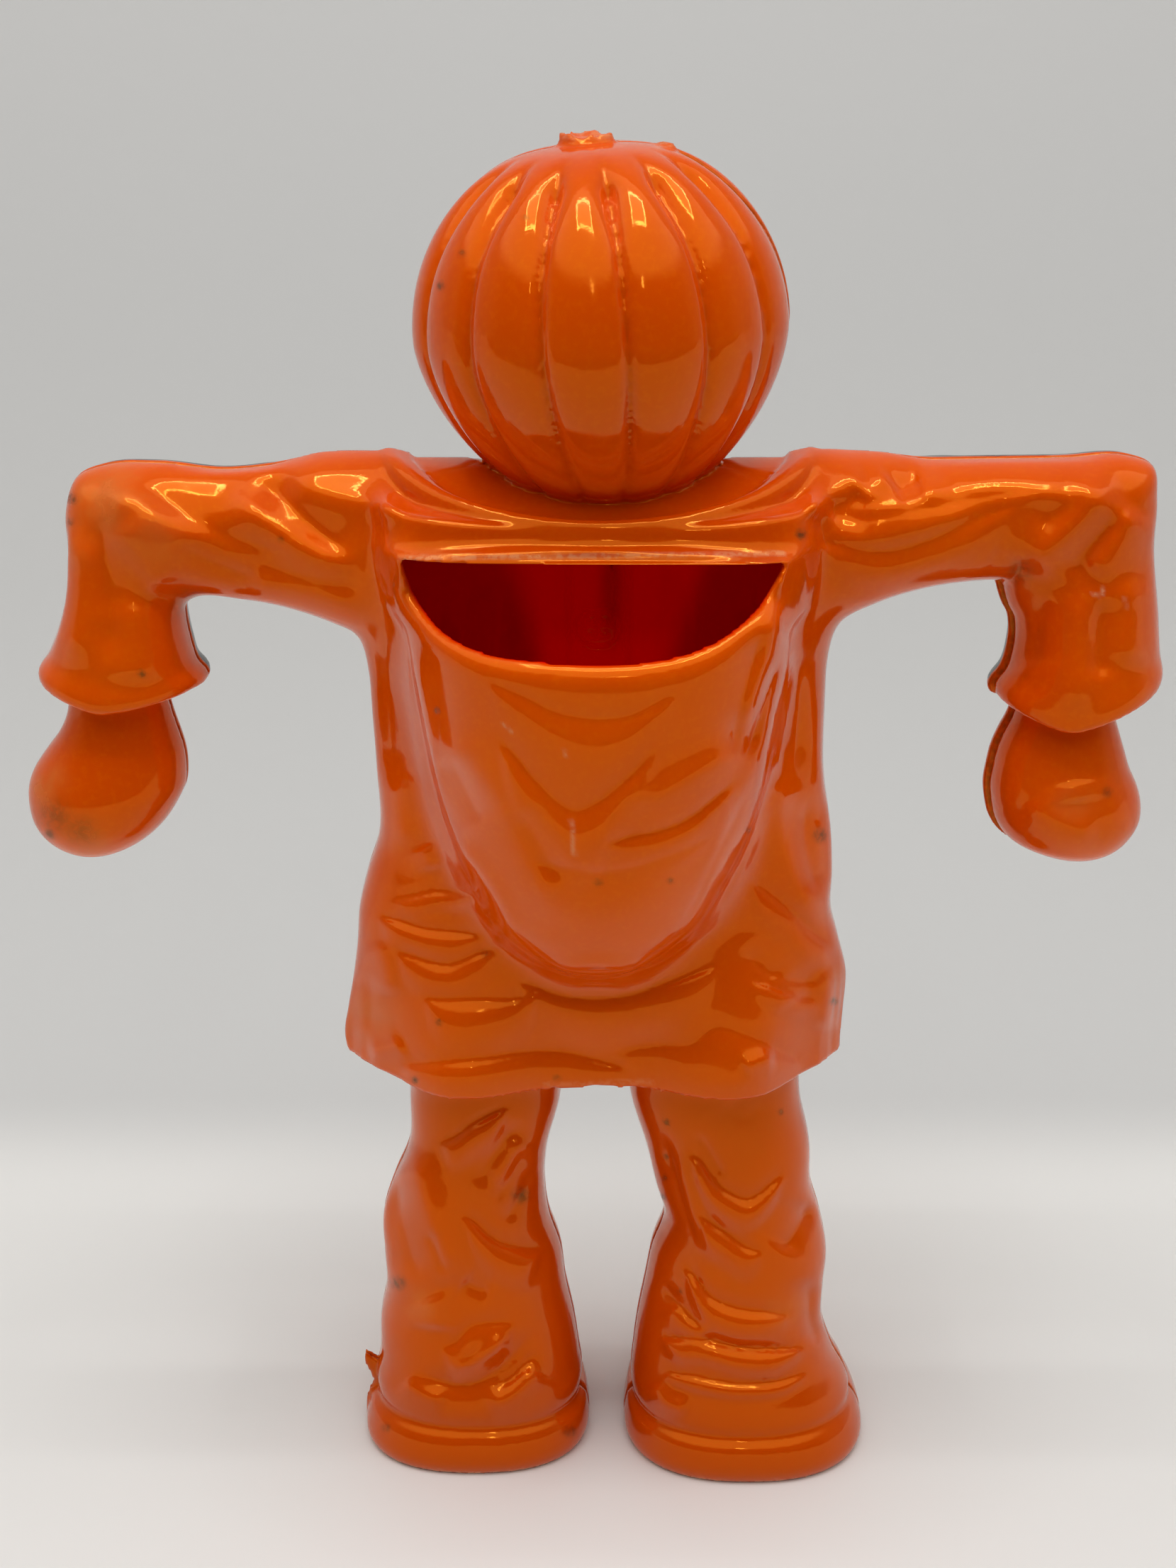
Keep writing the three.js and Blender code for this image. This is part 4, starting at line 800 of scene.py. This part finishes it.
RELIEF_GAIN = 1.05
LEG_GAIN = 1.15
LEG_TOP = 38
RELIEF_LIMIT = 1.6
RELIEF_STEP = 0.2
RELIEF_LOW = np.array([-58.0, -6.0])
RELIEF_SIZE = (580, 725)
RELIEF_X, RELIEF_Z = [np.arange(size) * RELIEF_STEP + low for size, low in zip(RELIEF_SIZE, RELIEF_LOW)]


def smooth_path(numbers, step=0.35):
    """Points close together along a smooth curve, from x and z of each of its points."""
    points = np.reshape(np.array(numbers, float), (-1, 2))
    padded = np.concatenate([[2 * points[0] - points[1]], points, [2 * points[-1] - points[-2]]])
    out = []
    for i in range(len(points) - 1):
        p0, p1, p2, p3 = padded[i:i + 4]
        count = max(2, int(np.linalg.norm(p2 - p1) / step))
        for t in np.arange(count) / count:
            bend = (2 * p0 - 5 * p1 + 4 * p2 - p3) * t**2
            twist = (3 * p1 - p0 - 3 * p2 + p3) * t**3
            out.append(0.5 * (2 * p1 + (p2 - p0) * t + bend + twist))
    out.append(points[-1])
    return np.array(out)


def press_fold(relief, height, left, right, *path):
    """Adds one fold to the relief map: rounded across, and fading out at both ends."""
    path = smooth_path(path)
    left, right = [1.2 * width if width <= 0.5 else 0.35 + 1.3 * width for width in (left, right)]
    reach = 2.6 * max(left, right)
    low = np.maximum(((path.min(0) - reach - RELIEF_LOW) / RELIEF_STEP).astype(int), 0)
    high = np.minimum(((path.max(0) + reach - RELIEF_LOW) / RELIEF_STEP).astype(int) + 2, RELIEF_SIZE)
    x = RELIEF_X[low[0]:high[0], None]
    z = RELIEF_Z[None, low[1]:high[1]]
    nearest = np.full((x.shape[0], z.shape[1]), 1e9)
    side = np.zeros_like(nearest)
    along = np.zeros_like(nearest)
    length = np.concatenate([[0], np.cumsum(np.linalg.norm(np.diff(path, axis=0), axis=1))])
    for i in range(len(path) - 1):
        step = path[i + 1] - path[i]
        span = max(length[i + 1] - length[i], 1e-6)
        t = np.clip(((x - path[i, 0]) * step[0] + (z - path[i, 1]) * step[1]) / span**2, 0, 1)
        dx = x - path[i, 0] - t * step[0]
        dz = z - path[i, 1] - t * step[1]
        square = dx * dx + dz * dz
        closer = square < nearest
        nearest = np.where(closer, square, nearest)
        side = np.where(closer, dx * step[1] - dz * step[0], side)
        along = np.where(closer, length[i] + t * span, along)
    width = np.where(side < 0, right, left)
    taper = smooth_step(np.minimum(along, length[-1] - along) / (0.25 * length[-1]), 0, 1)
    power = 1.8 if height > 0 else 1.25
    section = np.exp(-((np.sqrt(nearest) / width) ** power))
    relief[low[0]:high[0], low[1]:high[1]] += height * taper * section


def press_terrace(relief, rise, lead, fall, *rows):
    """Adds one overhanging fold: a gentle slope into its foot, a short one to its crest, a long one away."""
    rows = smooth_rows([(*row, 0) for row in np.reshape(rows, (-1, 3))[::-1]], 8)[:, :3]
    foot = np.interp(RELIEF_X, rows[:, 0], rows[:, 1])[:, None]
    crest = np.interp(RELIEF_X, rows[:, 0], rows[:, 2])[:, None]
    z = RELIEF_Z[None]
    thick = np.maximum(foot - crest, 0.2)
    inset = np.minimum(RELIEF_X - rows[0, 0], rows[-1, 0] - RELIEF_X)
    height = rise * (thick / thick.max()) ** 0.6 * smooth_step(inset, -0.6, 0.6)[:, None]
    above = np.clip((z - foot) / lead, 0, 1)
    slope = np.clip((foot - z) / thick, 0, 1)
    below = np.clip((crest - z) / fall, 0, 1)
    upper = -TERRACE_DIP * (1 - above) ** 1.6
    short = 1 - (1 - slope) ** 2 - TERRACE_DIP
    lower = (1 - TERRACE_DIP) * 0.5 * (1 + np.cos(math.pi * below))
    relief += height * np.where(z > foot, upper, np.where(z < crest, lower, short))


def relief_map(folds, terraces=()):
    """Map of how far the cloth is raised, mm; the sleeves' folds are half as high again."""
    relief = np.zeros(RELIEF_SIZE)
    for fold in folds:
        press_fold(relief, *fold)
    for terrace in terraces:
        press_terrace(relief, *terrace)
    relief *= np.where(RELIEF_Z < LEG_TOP, LEG_GAIN, RELIEF_GAIN)[None]
    relief *= 1 + 0.5 * smooth_step(np.abs(RELIEF_X), 37, 42)[:, None]
    return np.clip(relief, -RELIEF_LIMIT, RELIEF_LIMIT)


def read_map(relief, x, z):
    px = np.clip((x - RELIEF_LOW[0]) / RELIEF_STEP, 0, RELIEF_SIZE[0] - 1.001)
    pz = np.clip((z - RELIEF_LOW[1]) / RELIEF_STEP, 0, RELIEF_SIZE[1] - 1.001)
    i, k = px.astype(int), pz.astype(int)
    fx, fz = px - i, pz - k
    top = relief[i, k] * (1 - fx) + relief[i + 1, k] * fx
    bottom = relief[i, k + 1] * (1 - fx) + relief[i + 1, k + 1] * fx
    return top * (1 - fz) + bottom * fz


def seen_from_camera(x, y, z):
    """Where the photograph's camera sees a point, projected on the seam plane."""
    stretch = CAMERA[1] / (CAMERA[1] - y)
    return CAMERA[0] + (x - CAMERA[0]) * stretch, CAMERA[2] + (z - CAMERA[2]) * stretch


def nearest_button(z):
    heights = np.array(BUTTON_HEIGHTS)
    return heights[np.abs(z[:, None] - heights[None]).argmin(1)]


def face_distance(x, z, start):
    """Distance to the nearest cut of the face, negative inside it, but at most `start`."""
    for outline in FACE_CUTS:
        start = np.minimum(start, outline_distance(x - HEAD_CENTRE[0], z - HEAD_CENTRE[2], outline))
    return start


def sculpt(body, back_relief, front_relief):
    """Presses the folds into the field close to the skin, so that the wall keeps its thickness."""
    index = np.nonzero(np.abs(body) < 0.97 * BAND)
    x, y, z = point = [(index[i] + LOW_INDEX[i]) * VOXEL for i in range(3)]
    normal = []
    for i in range(3):
        ahead = list(index)
        behind = list(index)
        ahead[i] = np.minimum(index[i] + 1, SHAPE[i] - 1)
        behind[i] = np.maximum(index[i] - 1, 0)
        normal.append(body[tuple(ahead)] - body[tuple(behind)])
    size = np.sqrt(sum(n * n for n in normal)) + 1e-6
    normal = [n / size for n in normal]
    view = [CAMERA[i] - point[i] for i in range(3)]
    distance = np.sqrt(sum(v * v for v in view))
    facing = sum(n * v for n, v in zip(normal, view)) / distance
    head = np.sqrt(sum((point[i] - HEAD_CENTRE[i]) ** 2 for i in range(3))) - HEAD_RADIUS
    clothes = smooth_step(head - body[index], 0.9, 2.0)
    behind = smooth_step(facing, 0.05, 0.45) * smooth_step(y, 0.2, 2.6)
    before = smooth_step(-normal[1], 0.15, 0.5) * smooth_step(-y, 0.2, 2.6)
    push = clothes * behind * read_map(back_relief, *seen_from_camera(x, y, z))
    strip = smooth_step(-np.abs(x), -PLACKET_HALF_WIDTH - 0.5, -PLACKET_HALF_WIDTH + 0.1)
    strip = strip * smooth_step(-z, -97, -96)
    up = z - nearest_button(z)
    dome = np.clip(1 - (np.hypot(x, up) / BUTTON_RADIUS) ** 4, 0, 1) ** 0.5
    holes = 0
    for a, b in [(-1, -1), (-1, 1), (1, -1), (1, 1)]:
        gap = np.hypot(x - HOLE_PLACE * a, up - HOLE_PLACE * b)
        holes = holes + np.exp(-((gap / HOLE_RADIUS) ** 2))
    coat_front = before * smooth_step(z, HEM + 0.5, HEM + 1.5)
    push += clothes * before * (1 - strip * (coat_front > 0)) * read_map(front_relief, x, z)
    trim = PLACKET_RISE * strip + (BUTTON_RISE - PLACKET_RISE) * dome - HOLE_DEPTH * holes * (dome > 0)
    push += clothes * coat_front * trim
    carved = face_distance(x, z, np.full(len(x), 9.0, np.float32))
    push -= (1 - clothes) * smooth_step(-y, 1, 3) * FACE_DEPTH * smooth_step(-carved, -0.25, 0.35)
    body[index] -= push


# Paint, dirt, wear, painted shade and painted highlights, kept as values at the points of each mesh

# Each spot is (x, z, radius, strength) in mm, in the photograph's view like the folds
DIRT_SPOTS = [
    (49, 101, 0.5, 1), (49.2, 98.8, 0.35, 0.8), (29.7, 97.2, 0.3, 0.6), (43.5, 84, 0.35, 1),
    (-21.6, 67.5, 0.7, 0.8), (-23.6, 49.6, 0.4, 1), (16, 47.3, 0.35, 1), (18.6, 40.8, 0.35, 1),
    (8, 27.5, 0.9, 0.8), (21, 17, 0.8, 0.8), (-7, 36, 0.35, 1), (-7, 32, 0.3, 0.9),
    (-6.8, 29.5, 0.3, 0.9), (-6.6, 27.3, 0.4, 1), (22.8, -1, 0.5, 0.7), (3, -1.5, 0.7, 0.7),
    (0, 62.5, 0.35, 1), (-7, 62.7, 0.3, 0.9), (15.5, 80.3, 0.3, 0.9), (-14.6, 68, 0.3, 0.8),
    (14.3, 120.5, 0.35, 1), (12.3, 123.4, 0.3, 0.7), (6.6, 126.5, 0.25, 0.7), (-18.8, 97.6, 0.5, 0.9),
    (53, 69.5, 1.6, 0.5), (50.5, 68, 1.5, 0.4), (53.6, 67.6, 0.6, 0.8), (38.6, 91, 1.6, 0.4),
    (-39.4, 94, 1.2, 0.5), (-49.3, 72, 0.5, 0.6), (-18.6, 37.2, 0.3, 0.8), (11.2, 54.8, 0.4, 0.5),
    (4.2, 41, 0.4, 0.5), (-8.6, 16, 0.3, 0.7),
]
WORN_SPOTS = [
    (45.5, 101.2, 3.6, 0.7), (49, 97.5, 2.6, 0.5), (54, 73, 2.4, 0.7), (50, 66.5, 2.6, 0.4),
    (41.5, 97.5, 3, 0.35), (-46, 71, 2.2, 0.35), (23, 48, 2.6, 0.3), (-20, 14, 2.4, 0.3),
    (18.5, 14.5, 2.2, 0.35), (-23.6, 52, 1.6, 0.35),
]
# Each scratch is (strength, half width, then x and z of each point of its path)
SCRATCHES = [
    (0.5, 0.2, 2.7, 69, 2.5, 67.4, 2.6, 66.4, 2.4, 65.5),
    (0.7, 0.14, -46.4, 91.9, -47.2, 91.7, -47.4, 92.4), (0.6, 0.14, -49.5, 91.4, -49.6, 90.6),
    (0.5, 0.14, 3.4, 76.4, 3.1, 75.6), (0.5, 0.14, 9.2, 78.9, 8.4, 78.2),
    (0.6, 0.16, -0.4, 134, 2, 133.6, 3.4, 134),
]


def spots(x, z, marks):
    total = np.zeros(len(x))
    for centre_x, centre_z, radius, strength in marks:
        gap = ((x - centre_x) ** 2 + (z - centre_z) ** 2) / radius**2
        total = np.maximum(total, strength * np.exp(-(gap**1.4)))
    return total


def scratches(x, z):
    total = np.zeros(len(x))
    for strength, width, *path in SCRATCHES:
        path = smooth_path(path, 0.15)
        near = (np.abs(x - path[:, 0].mean()) < 4) & (np.abs(z - path[:, 1].mean()) < 4)
        gap = np.hypot(x[near, None] - path[None, :, 0], z[near, None] - path[None, :, 1]).min(1)
        total[near] = np.maximum(total[near], strength * np.exp(-((gap / width) ** 2)))
    return total


def head_crease(points):
    """1 in the grooves of the pumpkin, 0 beside them; the grooves get painted shade there."""
    x, y, z = (points - HEAD_CENTRE).T
    x, z = lean(x, z, -HEAD_TILT)
    across = across_rib(np.arctan2(-x, y))
    arc = (0.5 - np.abs(across)) * 2 * math.pi / HEAD_RIBS * np.hypot(x, y)
    return np.exp(-((arc / 0.3) ** 2)) * smooth_step(-z, -15.4, -13) * smooth_step(z, -12.4, -10.5)


def sack_glow(x, z):
    """Light that comes through the front half inside the mouth: narrower downwards, dark at the slot."""
    narrowing = 0.3 * np.clip(95 - z, 0, 12)
    glow = smooth_step(-np.abs(x + 0.8) - narrowing, -12, -8.5) * (1 - 0.9 * along_slot(x, z, 1.1))
    return glow * (1 + 0.3 * smooth_step(-z, -86.5, -83.5))


def garment_zone(x, y, z):
    """1 on the coat and the sleeves, 0 on the hands, the trousers and the collar's bowl."""
    coat_zone = smooth_step(z, HEM - 0.3, HEM + 0.5) * (np.abs(x) < ARM_START)
    under_cuff = np.where(z > 79.5, np.abs(y) - 5.8, -9)
    cuff_zone = smooth_step(np.maximum(z - CUFF_HEM, under_cuff), -0.2, 0.2)
    cuff_zone = cuff_zone * (np.abs(x) >= ARM_START)
    neck = smooth_step(-np.hypot(x / 21, y / 13.6), -1.04, -0.97) * smooth_step(z, 98, 99.2)
    return np.maximum(coat_zone, cuff_zone) * (1 - neck)


def pale_wear_and_highlight_edges(seen_x, seen_z, y, z):
    """Pale wear on the yoke's lower edge and the torn stem and gate, and painted highlights along the soles
    and the coat's hem.
    """
    above_bead = seen_z - 95.55 + 0.012 * (seen_x - 2)
    bead = smooth_step(-np.abs(above_bead), -0.34, -0.12)
    bead = bead * (seen_x > -17.4) * (seen_x < 18.9) * (y > 10)
    gate = smooth_step(-np.abs(seen_x - GATE_X), -1.2, -0.5) * smooth_step(z, 132.5, 132.9)
    torn = smooth_step(z, 133.1, 133.7) + gate
    # Painted highlight along the soles' lower edge
    sole = smooth_step(-z, -0.55, -0.2)
    # Painted highlight along the coat's hem
    above_hem = seen_z - 40.45 + 0.04 * seen_x
    hem = smooth_step(-np.abs(above_hem), -0.4, -0.15) * (np.abs(seen_x) < 5.6) * (y > 3)
    return [0.45 * bead, 0.4 * torn, 0.8 * sole, 0.2 * hem]


def surface_marks(points, body):
    """Values from 0 to 1 at each point, by the name that the material reads them by."""
    x, y, z = points.T
    seen_x, seen_z = seen_from_camera(x, y, z)
    behind = smooth_step(y, 0, 0.4)
    inside = smooth_step(-sample(body, points), 0.5 * WALL, 0.95 * WALL)
    outside = 1 - inside
    head = np.sqrt(((points - HEAD_CENTRE) ** 2).sum(1)) - HEAD_RADIUS
    garment = smooth_step(head, 0.5, 1.0) * garment_zone(x, y, z)
    button = np.hypot(x, z - nearest_button(z)) / BUTTON_RADIUS
    bare_button = smooth_step(-button, -1.05, -0.85) * (y < -8)
    overspray = smooth_step(-y, -0.35, 1.7)
    carved = np.full(len(x), 9.0)
    face = (y < -4) & (head < 1.5) & (head > -3)
    carved[face] = face_distance(x[face], z[face], carved[face])
    paint = np.maximum(garment * overspray * (1 - bare_button), smooth_step(-carved, -0.05, 0.25))
    seam = 0.55 * np.exp(-((y / 0.3) ** 2))
    dirt = np.maximum(behind * spots(seen_x, seen_z, DIRT_SPOTS), seam)
    # Pale wear and scratches, with painted highlights on the soles and the hem
    chalk_and_highlight = behind * scratches(seen_x, seen_z)
    for edge in pale_wear_and_highlight_edges(seen_x, seen_z, y, z):
        chalk_and_highlight = np.maximum(chalk_and_highlight, np.clip(edge, 0, 1))
    # Painted shade on the yoke's face above the mouth
    yoke_shade = smooth_step(-np.abs(seen_x), -18.5, -16)
    yoke_shade = yoke_shade * smooth_step(seen_z, 93.5, 94.5) * smooth_step(-seen_z, -100.2, -98.8)
    return {
        "inside": inside,
        "glow": inside * sack_glow(x, z),
        "paint": outside * paint,
        "dirt": outside * dirt,
        "chalk_and_highlight": outside * chalk_and_highlight,
        "worn": outside * behind * spots(seen_x, seen_z, WORN_SPOTS),
        "crease_shade": outside * np.maximum((head < 1) * head_crease(points), behind * yoke_shade),
    }


# Materials

def plain_material(name, colour, roughness):
    material = bpy.data.materials.new(name)
    material.use_nodes = True
    shader = material.node_tree.nodes["Principled BSDF"]
    shader.inputs["Base Color"].default_value = (*colour, 1)
    shader.inputs["Roughness"].default_value = roughness
    return material


def feed(tree, socket, value):
    """Gives a socket a plain value, a colour or another socket's output."""
    if isinstance(value, tuple):
        socket.default_value = (*value, 1)
    elif isinstance(value, (int, float)):
        socket.default_value = value
    else:
        tree.links.new(value, socket)


def mixed(tree, factor, first, second):
    """Colour between two colours, each a socket or a plain colour."""
    node = tree.nodes.new("ShaderNodeMix")
    node.data_type = "RGBA"
    tree.links.new(factor, node.inputs["Factor"])
    feed(tree, node.inputs[6], first)
    feed(tree, node.inputs[7], second)
    return node.outputs[2]


def arithmetic(tree, operation, first, second):
    node = tree.nodes.new("ShaderNodeMath")
    node.operation = operation
    feed(tree, node.inputs[0], first)
    feed(tree, node.inputs[1], second)
    return node.outputs[0]


def times(tree, first, second):
    return arithmetic(tree, "MULTIPLY", first, second)


def plus(tree, first, second):
    return arithmetic(tree, "ADD", first, second)


def ramp(tree, source, low, high, at_low, at_high):
    """Smooth step of a value between two levels."""
    node = tree.nodes.new("ShaderNodeMapRange")
    node.interpolation_type = "SMOOTHSTEP"
    for socket, value in zip(node.inputs, [source, low, high, at_low, at_high]):
        feed(tree, socket, value)
    return node.outputs[0]


def texture_place(tree, kind):
    """A texture coordinate, and its three parts."""
    place = tree.nodes.new("ShaderNodeTexCoord").outputs[kind]
    split = tree.nodes.new("ShaderNodeSeparateXYZ")
    tree.links.new(place, split.inputs[0])
    return place, split.outputs


def noise(tree, place, scale, detail):
    node = tree.nodes.new("ShaderNodeTexNoise")
    node.inputs["Scale"].default_value = scale
    node.inputs["Detail"].default_value = detail
    tree.links.new(place, node.inputs["Vector"])
    return node.outputs["Fac"]


def mark(tree, name):
    node = tree.nodes.new("ShaderNodeAttribute")
    node.attribute_name = name
    return node.outputs["Fac"]


def moulded_plastic():
    """Glossy orange plastic: uneven in tone, dirty and worn in places, black where it is painted, with
    painted shade low on the figure, in the head's grooves, on the yoke and inside, painted highlights on the
    soles and the hem, and a painted red glow inside.
    """
    material = plain_material("orange_plastic", PLASTIC, GLOSS)
    tree = material.node_tree
    shader = tree.nodes["Principled BSDF"]
    place, parts = texture_place(tree, "Object")
    cloudy = noise(tree, place, 60, 2)
    patchy = noise(tree, place, 260, 4)
    grainy = noise(tree, place, 1500, 4)
    fine = noise(tree, place, 3200, 2)
    tone = mixed(tree, ramp(tree, cloudy, 0.35, 0.65, 0.0, 1.0), PLASTIC_DEEP, PLASTIC)
    tone = mixed(tree, ramp(tree, grainy, 0.45, 0.75, 0.0, 0.3), tone, PLASTIC_PALE)
    # Painted shade: the lower coat, the trousers and the boots get darker by height
    for low, high, share, colour in LOWER_PAINTED_SHADE:
        tone = mixed(tree, ramp(tree, parts["Z"], low, high, share, 0.0), tone, colour)
    worn = times(tree, mark(tree, "worn"), ramp(tree, patchy, 0.35, 0.6, 0.25, 1.0))
    # Pale wear, and painted highlights on the soles and the hem
    chalk_and_highlight = times(tree, mark(tree, "chalk_and_highlight"), ramp(tree, grainy, 0.4, 0.55, 0.35, 1.0))
    dirt = times(tree, mark(tree, "dirt"), ramp(tree, grainy, 0.35, 0.6, 0.45, 1.0))
    uneven = times(tree, arithmetic(tree, "SUBTRACT", patchy, 0.5), 0.9)
    paint = ramp(tree, plus(tree, mark(tree, "paint"), uneven), 0.42, 0.62, 0.0, 1.0)
    layers = [
        (worn, WORN),
        # Painted shade in the head's grooves and on the yoke
        (times(tree, mark(tree, "crease_shade"), 0.3), CREASE_SHADE),
        # Painted shade and light inside the shell
        (mark(tree, "inside"), INSIDE_SHADE),
        (chalk_and_highlight, CHALK_AND_HIGHLIGHT),
        (dirt, DIRT),
        (paint, PAINT),
    ]
    for factor, colour in layers:
        tone = mixed(tree, factor, tone, colour)
    dull = ramp(tree, patchy, 0.4, 0.7, GLOSS, GLOSS + 0.08)
    for factor, amount in [(worn, 0.3), (chalk_and_highlight, 0.4), (dirt, 0.3), (paint, 0.14)]:
        dull = plus(tree, dull, times(tree, factor, amount))
    bump = tree.nodes.new("ShaderNodeBump")
    bump.inputs["Strength"].default_value = 0.35
    bump.inputs["Distance"].default_value = 0.0001
    feed(tree, bump.inputs["Height"], plus(tree, patchy, times(tree, fine, 0.12)))
    glow = times(tree, mark(tree, "glow"), GLOW_LIGHT)
    inside = times(tree, mark(tree, "inside"), INSIDE_LIGHT)
    feed(tree, shader.inputs["Base Color"], tone)
    feed(tree, shader.inputs["Roughness"], dull)
    feed(tree, shader.inputs["Normal"], bump.outputs["Normal"])
    feed(tree, shader.inputs["Specular Tint"], mixed(tree, paint, GLEAM, PAINT_GLEAM))
    feed(tree, shader.inputs["Emission Strength"], plus(tree, glow, inside))
    shader.inputs["IOR"].default_value = GLEAM_INDEX
    shader.inputs["Subsurface Weight"].default_value = 0.15
    shader.inputs["Subsurface Radius"].default_value = (1, 0.15, 0.02)
    shader.inputs["Subsurface Scale"].default_value = 0.004
    shader.inputs["Emission Color"].default_value = GLOW
    return material


def paper_material():
    """Pale paper: a table whose far part is painted darker, as painted shade that matches the dimmer
    backdrop, and which is painted near black in front, as painted shade of the dark room past the table's
    end.
    """
    material = plain_material("pale_paper", TABLE_COLOUR, 0.6)
    tree = material.node_tree
    parts = texture_place(tree, "Object")[1]
    far = ramp(tree, parts["Y"], -0.078, -0.052, 1.0, 0.0)
    room = ramp(tree, parts["Y"], 0.24, 0.25, 0.0, 1.0)
    up = ramp(tree, parts["Z"], 0.0, 0.3, 0.0, 1.0)
    colour = TABLE_COLOUR
    for factor, shade in [(far, SWEEP_PAINTED_SHADE), (up, WALL_COLOUR), (room, ROOM_PAINTED_SHADE)]:
        colour = mixed(tree, factor, colour, shade)
    tree.links.new(colour, tree.nodes["Principled BSDF"].inputs["Base Color"])
    return material


# Camera, light and studio

def camera():
    data = bpy.data.cameras.new("camera")
    data.sensor_width = 36
    data.lens = FOCAL_PIXELS / PHOTO_SIZE[1] * data.sensor_width
    data.clip_start = 0.01
    data.clip_end = 10
    made = bpy.data.objects.new("camera", data)
    made.location = (CAMERA + [0, SEAM_Y, 0]) * MM
    made.rotation_euler = (math.pi / 2 - CAMERA_PITCH, 0, math.pi)
    bpy.context.scene.collection.objects.link(made)
    bpy.context.scene.camera = made


def softbox(name, place, aim, size, power):
    """A rectangular lamp, with its power per square metre."""
    light = bpy.data.lights.new(name, "AREA")
    light.shape = "RECTANGLE"
    light.size, light.size_y = size
    light.energy = power * size[0] * size[1]
    light.spread = math.pi
    lamp = bpy.data.objects.new(name, light)
    lamp.location = place
    lamp.rotation_euler = (Vector(aim) - Vector(place)).to_track_quat("-Z", "Y").to_euler()
    bpy.context.scene.collection.objects.link(lamp)


def sweep():
    """Table and backdrop as one sheet, curved where it turns up."""
    radius, turn_y, half_width = 0.25, -0.35, 2.2
    profile = [(1.5, 0), (0.5, 0), (turn_y + 0.02, 0)]
    for i in range(17):
        angle = i / 16 * math.pi / 2
        profile.append((turn_y - radius * math.sin(angle), radius * (1 - math.cos(angle))))
    profile += [(turn_y - radius, radius + 0.02), (turn_y - radius, 3)]
    points = [(x, y, z) for y, z in profile for x in (-half_width, half_width)]
    faces = [(2 * i, 2 * i + 1, 2 * i + 3, 2 * i + 2) for i in range(len(profile) - 1)]
    mesh = bpy.data.meshes.new("backdrop")
    mesh.from_pydata(points, [], faces)
    mesh.polygons.foreach_set("use_smooth", [True] * len(faces))
    mesh.materials.append(paper_material())
    sheet = bpy.data.objects.new("backdrop", mesh)
    bpy.context.scene.collection.objects.link(sheet)


def world_light():
    """Bright above, plain at the horizon, and dark in the room behind the camera."""
    world = bpy.data.worlds.new("world")
    bpy.context.scene.world = world
    world.use_nodes = True
    tree = world.node_tree
    parts = texture_place(tree, "Generated")[1]
    horizon = ramp(tree, parts["Y"], 0.1, 0.6, HORIZON_LIGHT, ROOM_LIGHT)
    level = ramp(tree, parts["Z"], 0.5, 0.66, horizon, CEILING_LIGHT)
    tree.links.new(level, tree.nodes["Background"].inputs["Strength"])
    tree.nodes["Background"].inputs["Color"].default_value = SKY_COLOUR


def lamps():
    """A ceiling fitting with bright edges, and a small window behind the camera."""
    x0, y0, z0 = FITTING
    lean_y = -0.025
    softbox("fitting", FITTING, (x0, y0 + lean_y, 0), FITTING_SIZE, FITTING_POWER)
    for end in (1, -1):
        for x, y, size in [
            (0, 0.105 * end, (0.34, EDGE_WIDTH)),
            (0.165 * end, 0, (EDGE_WIDTH, FITTING_SIZE[1])),
        ]:
            place = (x0 + x, y0 + y, z0 - 0.01)
            softbox("fitting_edge", place, (x0 + x, y0 + y + lean_y, 0), size, EDGE_POWER)
    softbox("window", WINDOW, (0, 0, 0.08), WINDOW_SIZE, WINDOW_POWER)


body = grow_body()
sculpt(body, relief_map(FOLDS, TERRACES), relief_map(FRONT_FOLDS))
slip_right_arm(body)
shell = carve_shell(body)
seam_axis = axes()[1]
plastic = moulded_plastic()
for name, field in [
    ("back_shell", np.maximum(shell, SEAM_GAP - seam_axis)),
    ("front_shell", np.maximum(shell, SEAM_GAP + seam_axis)),
]:
    points, faces = mesh_of(field)
    piece = make_object(name + "_skin", points, faces)
    for mark_name, values in surface_marks(points, body).items():
        attribute = piece.data.attributes.new(mark_name, "FLOAT", "POINT")
        attribute.data.foreach_set("value", values.astype(np.float32))
    piece.data.materials.append(plastic)
    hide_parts(name)
    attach(piece, "root")

camera()
sweep()
world_light()
lamps()
bpy.context.scene.view_settings.view_transform = "Standard"
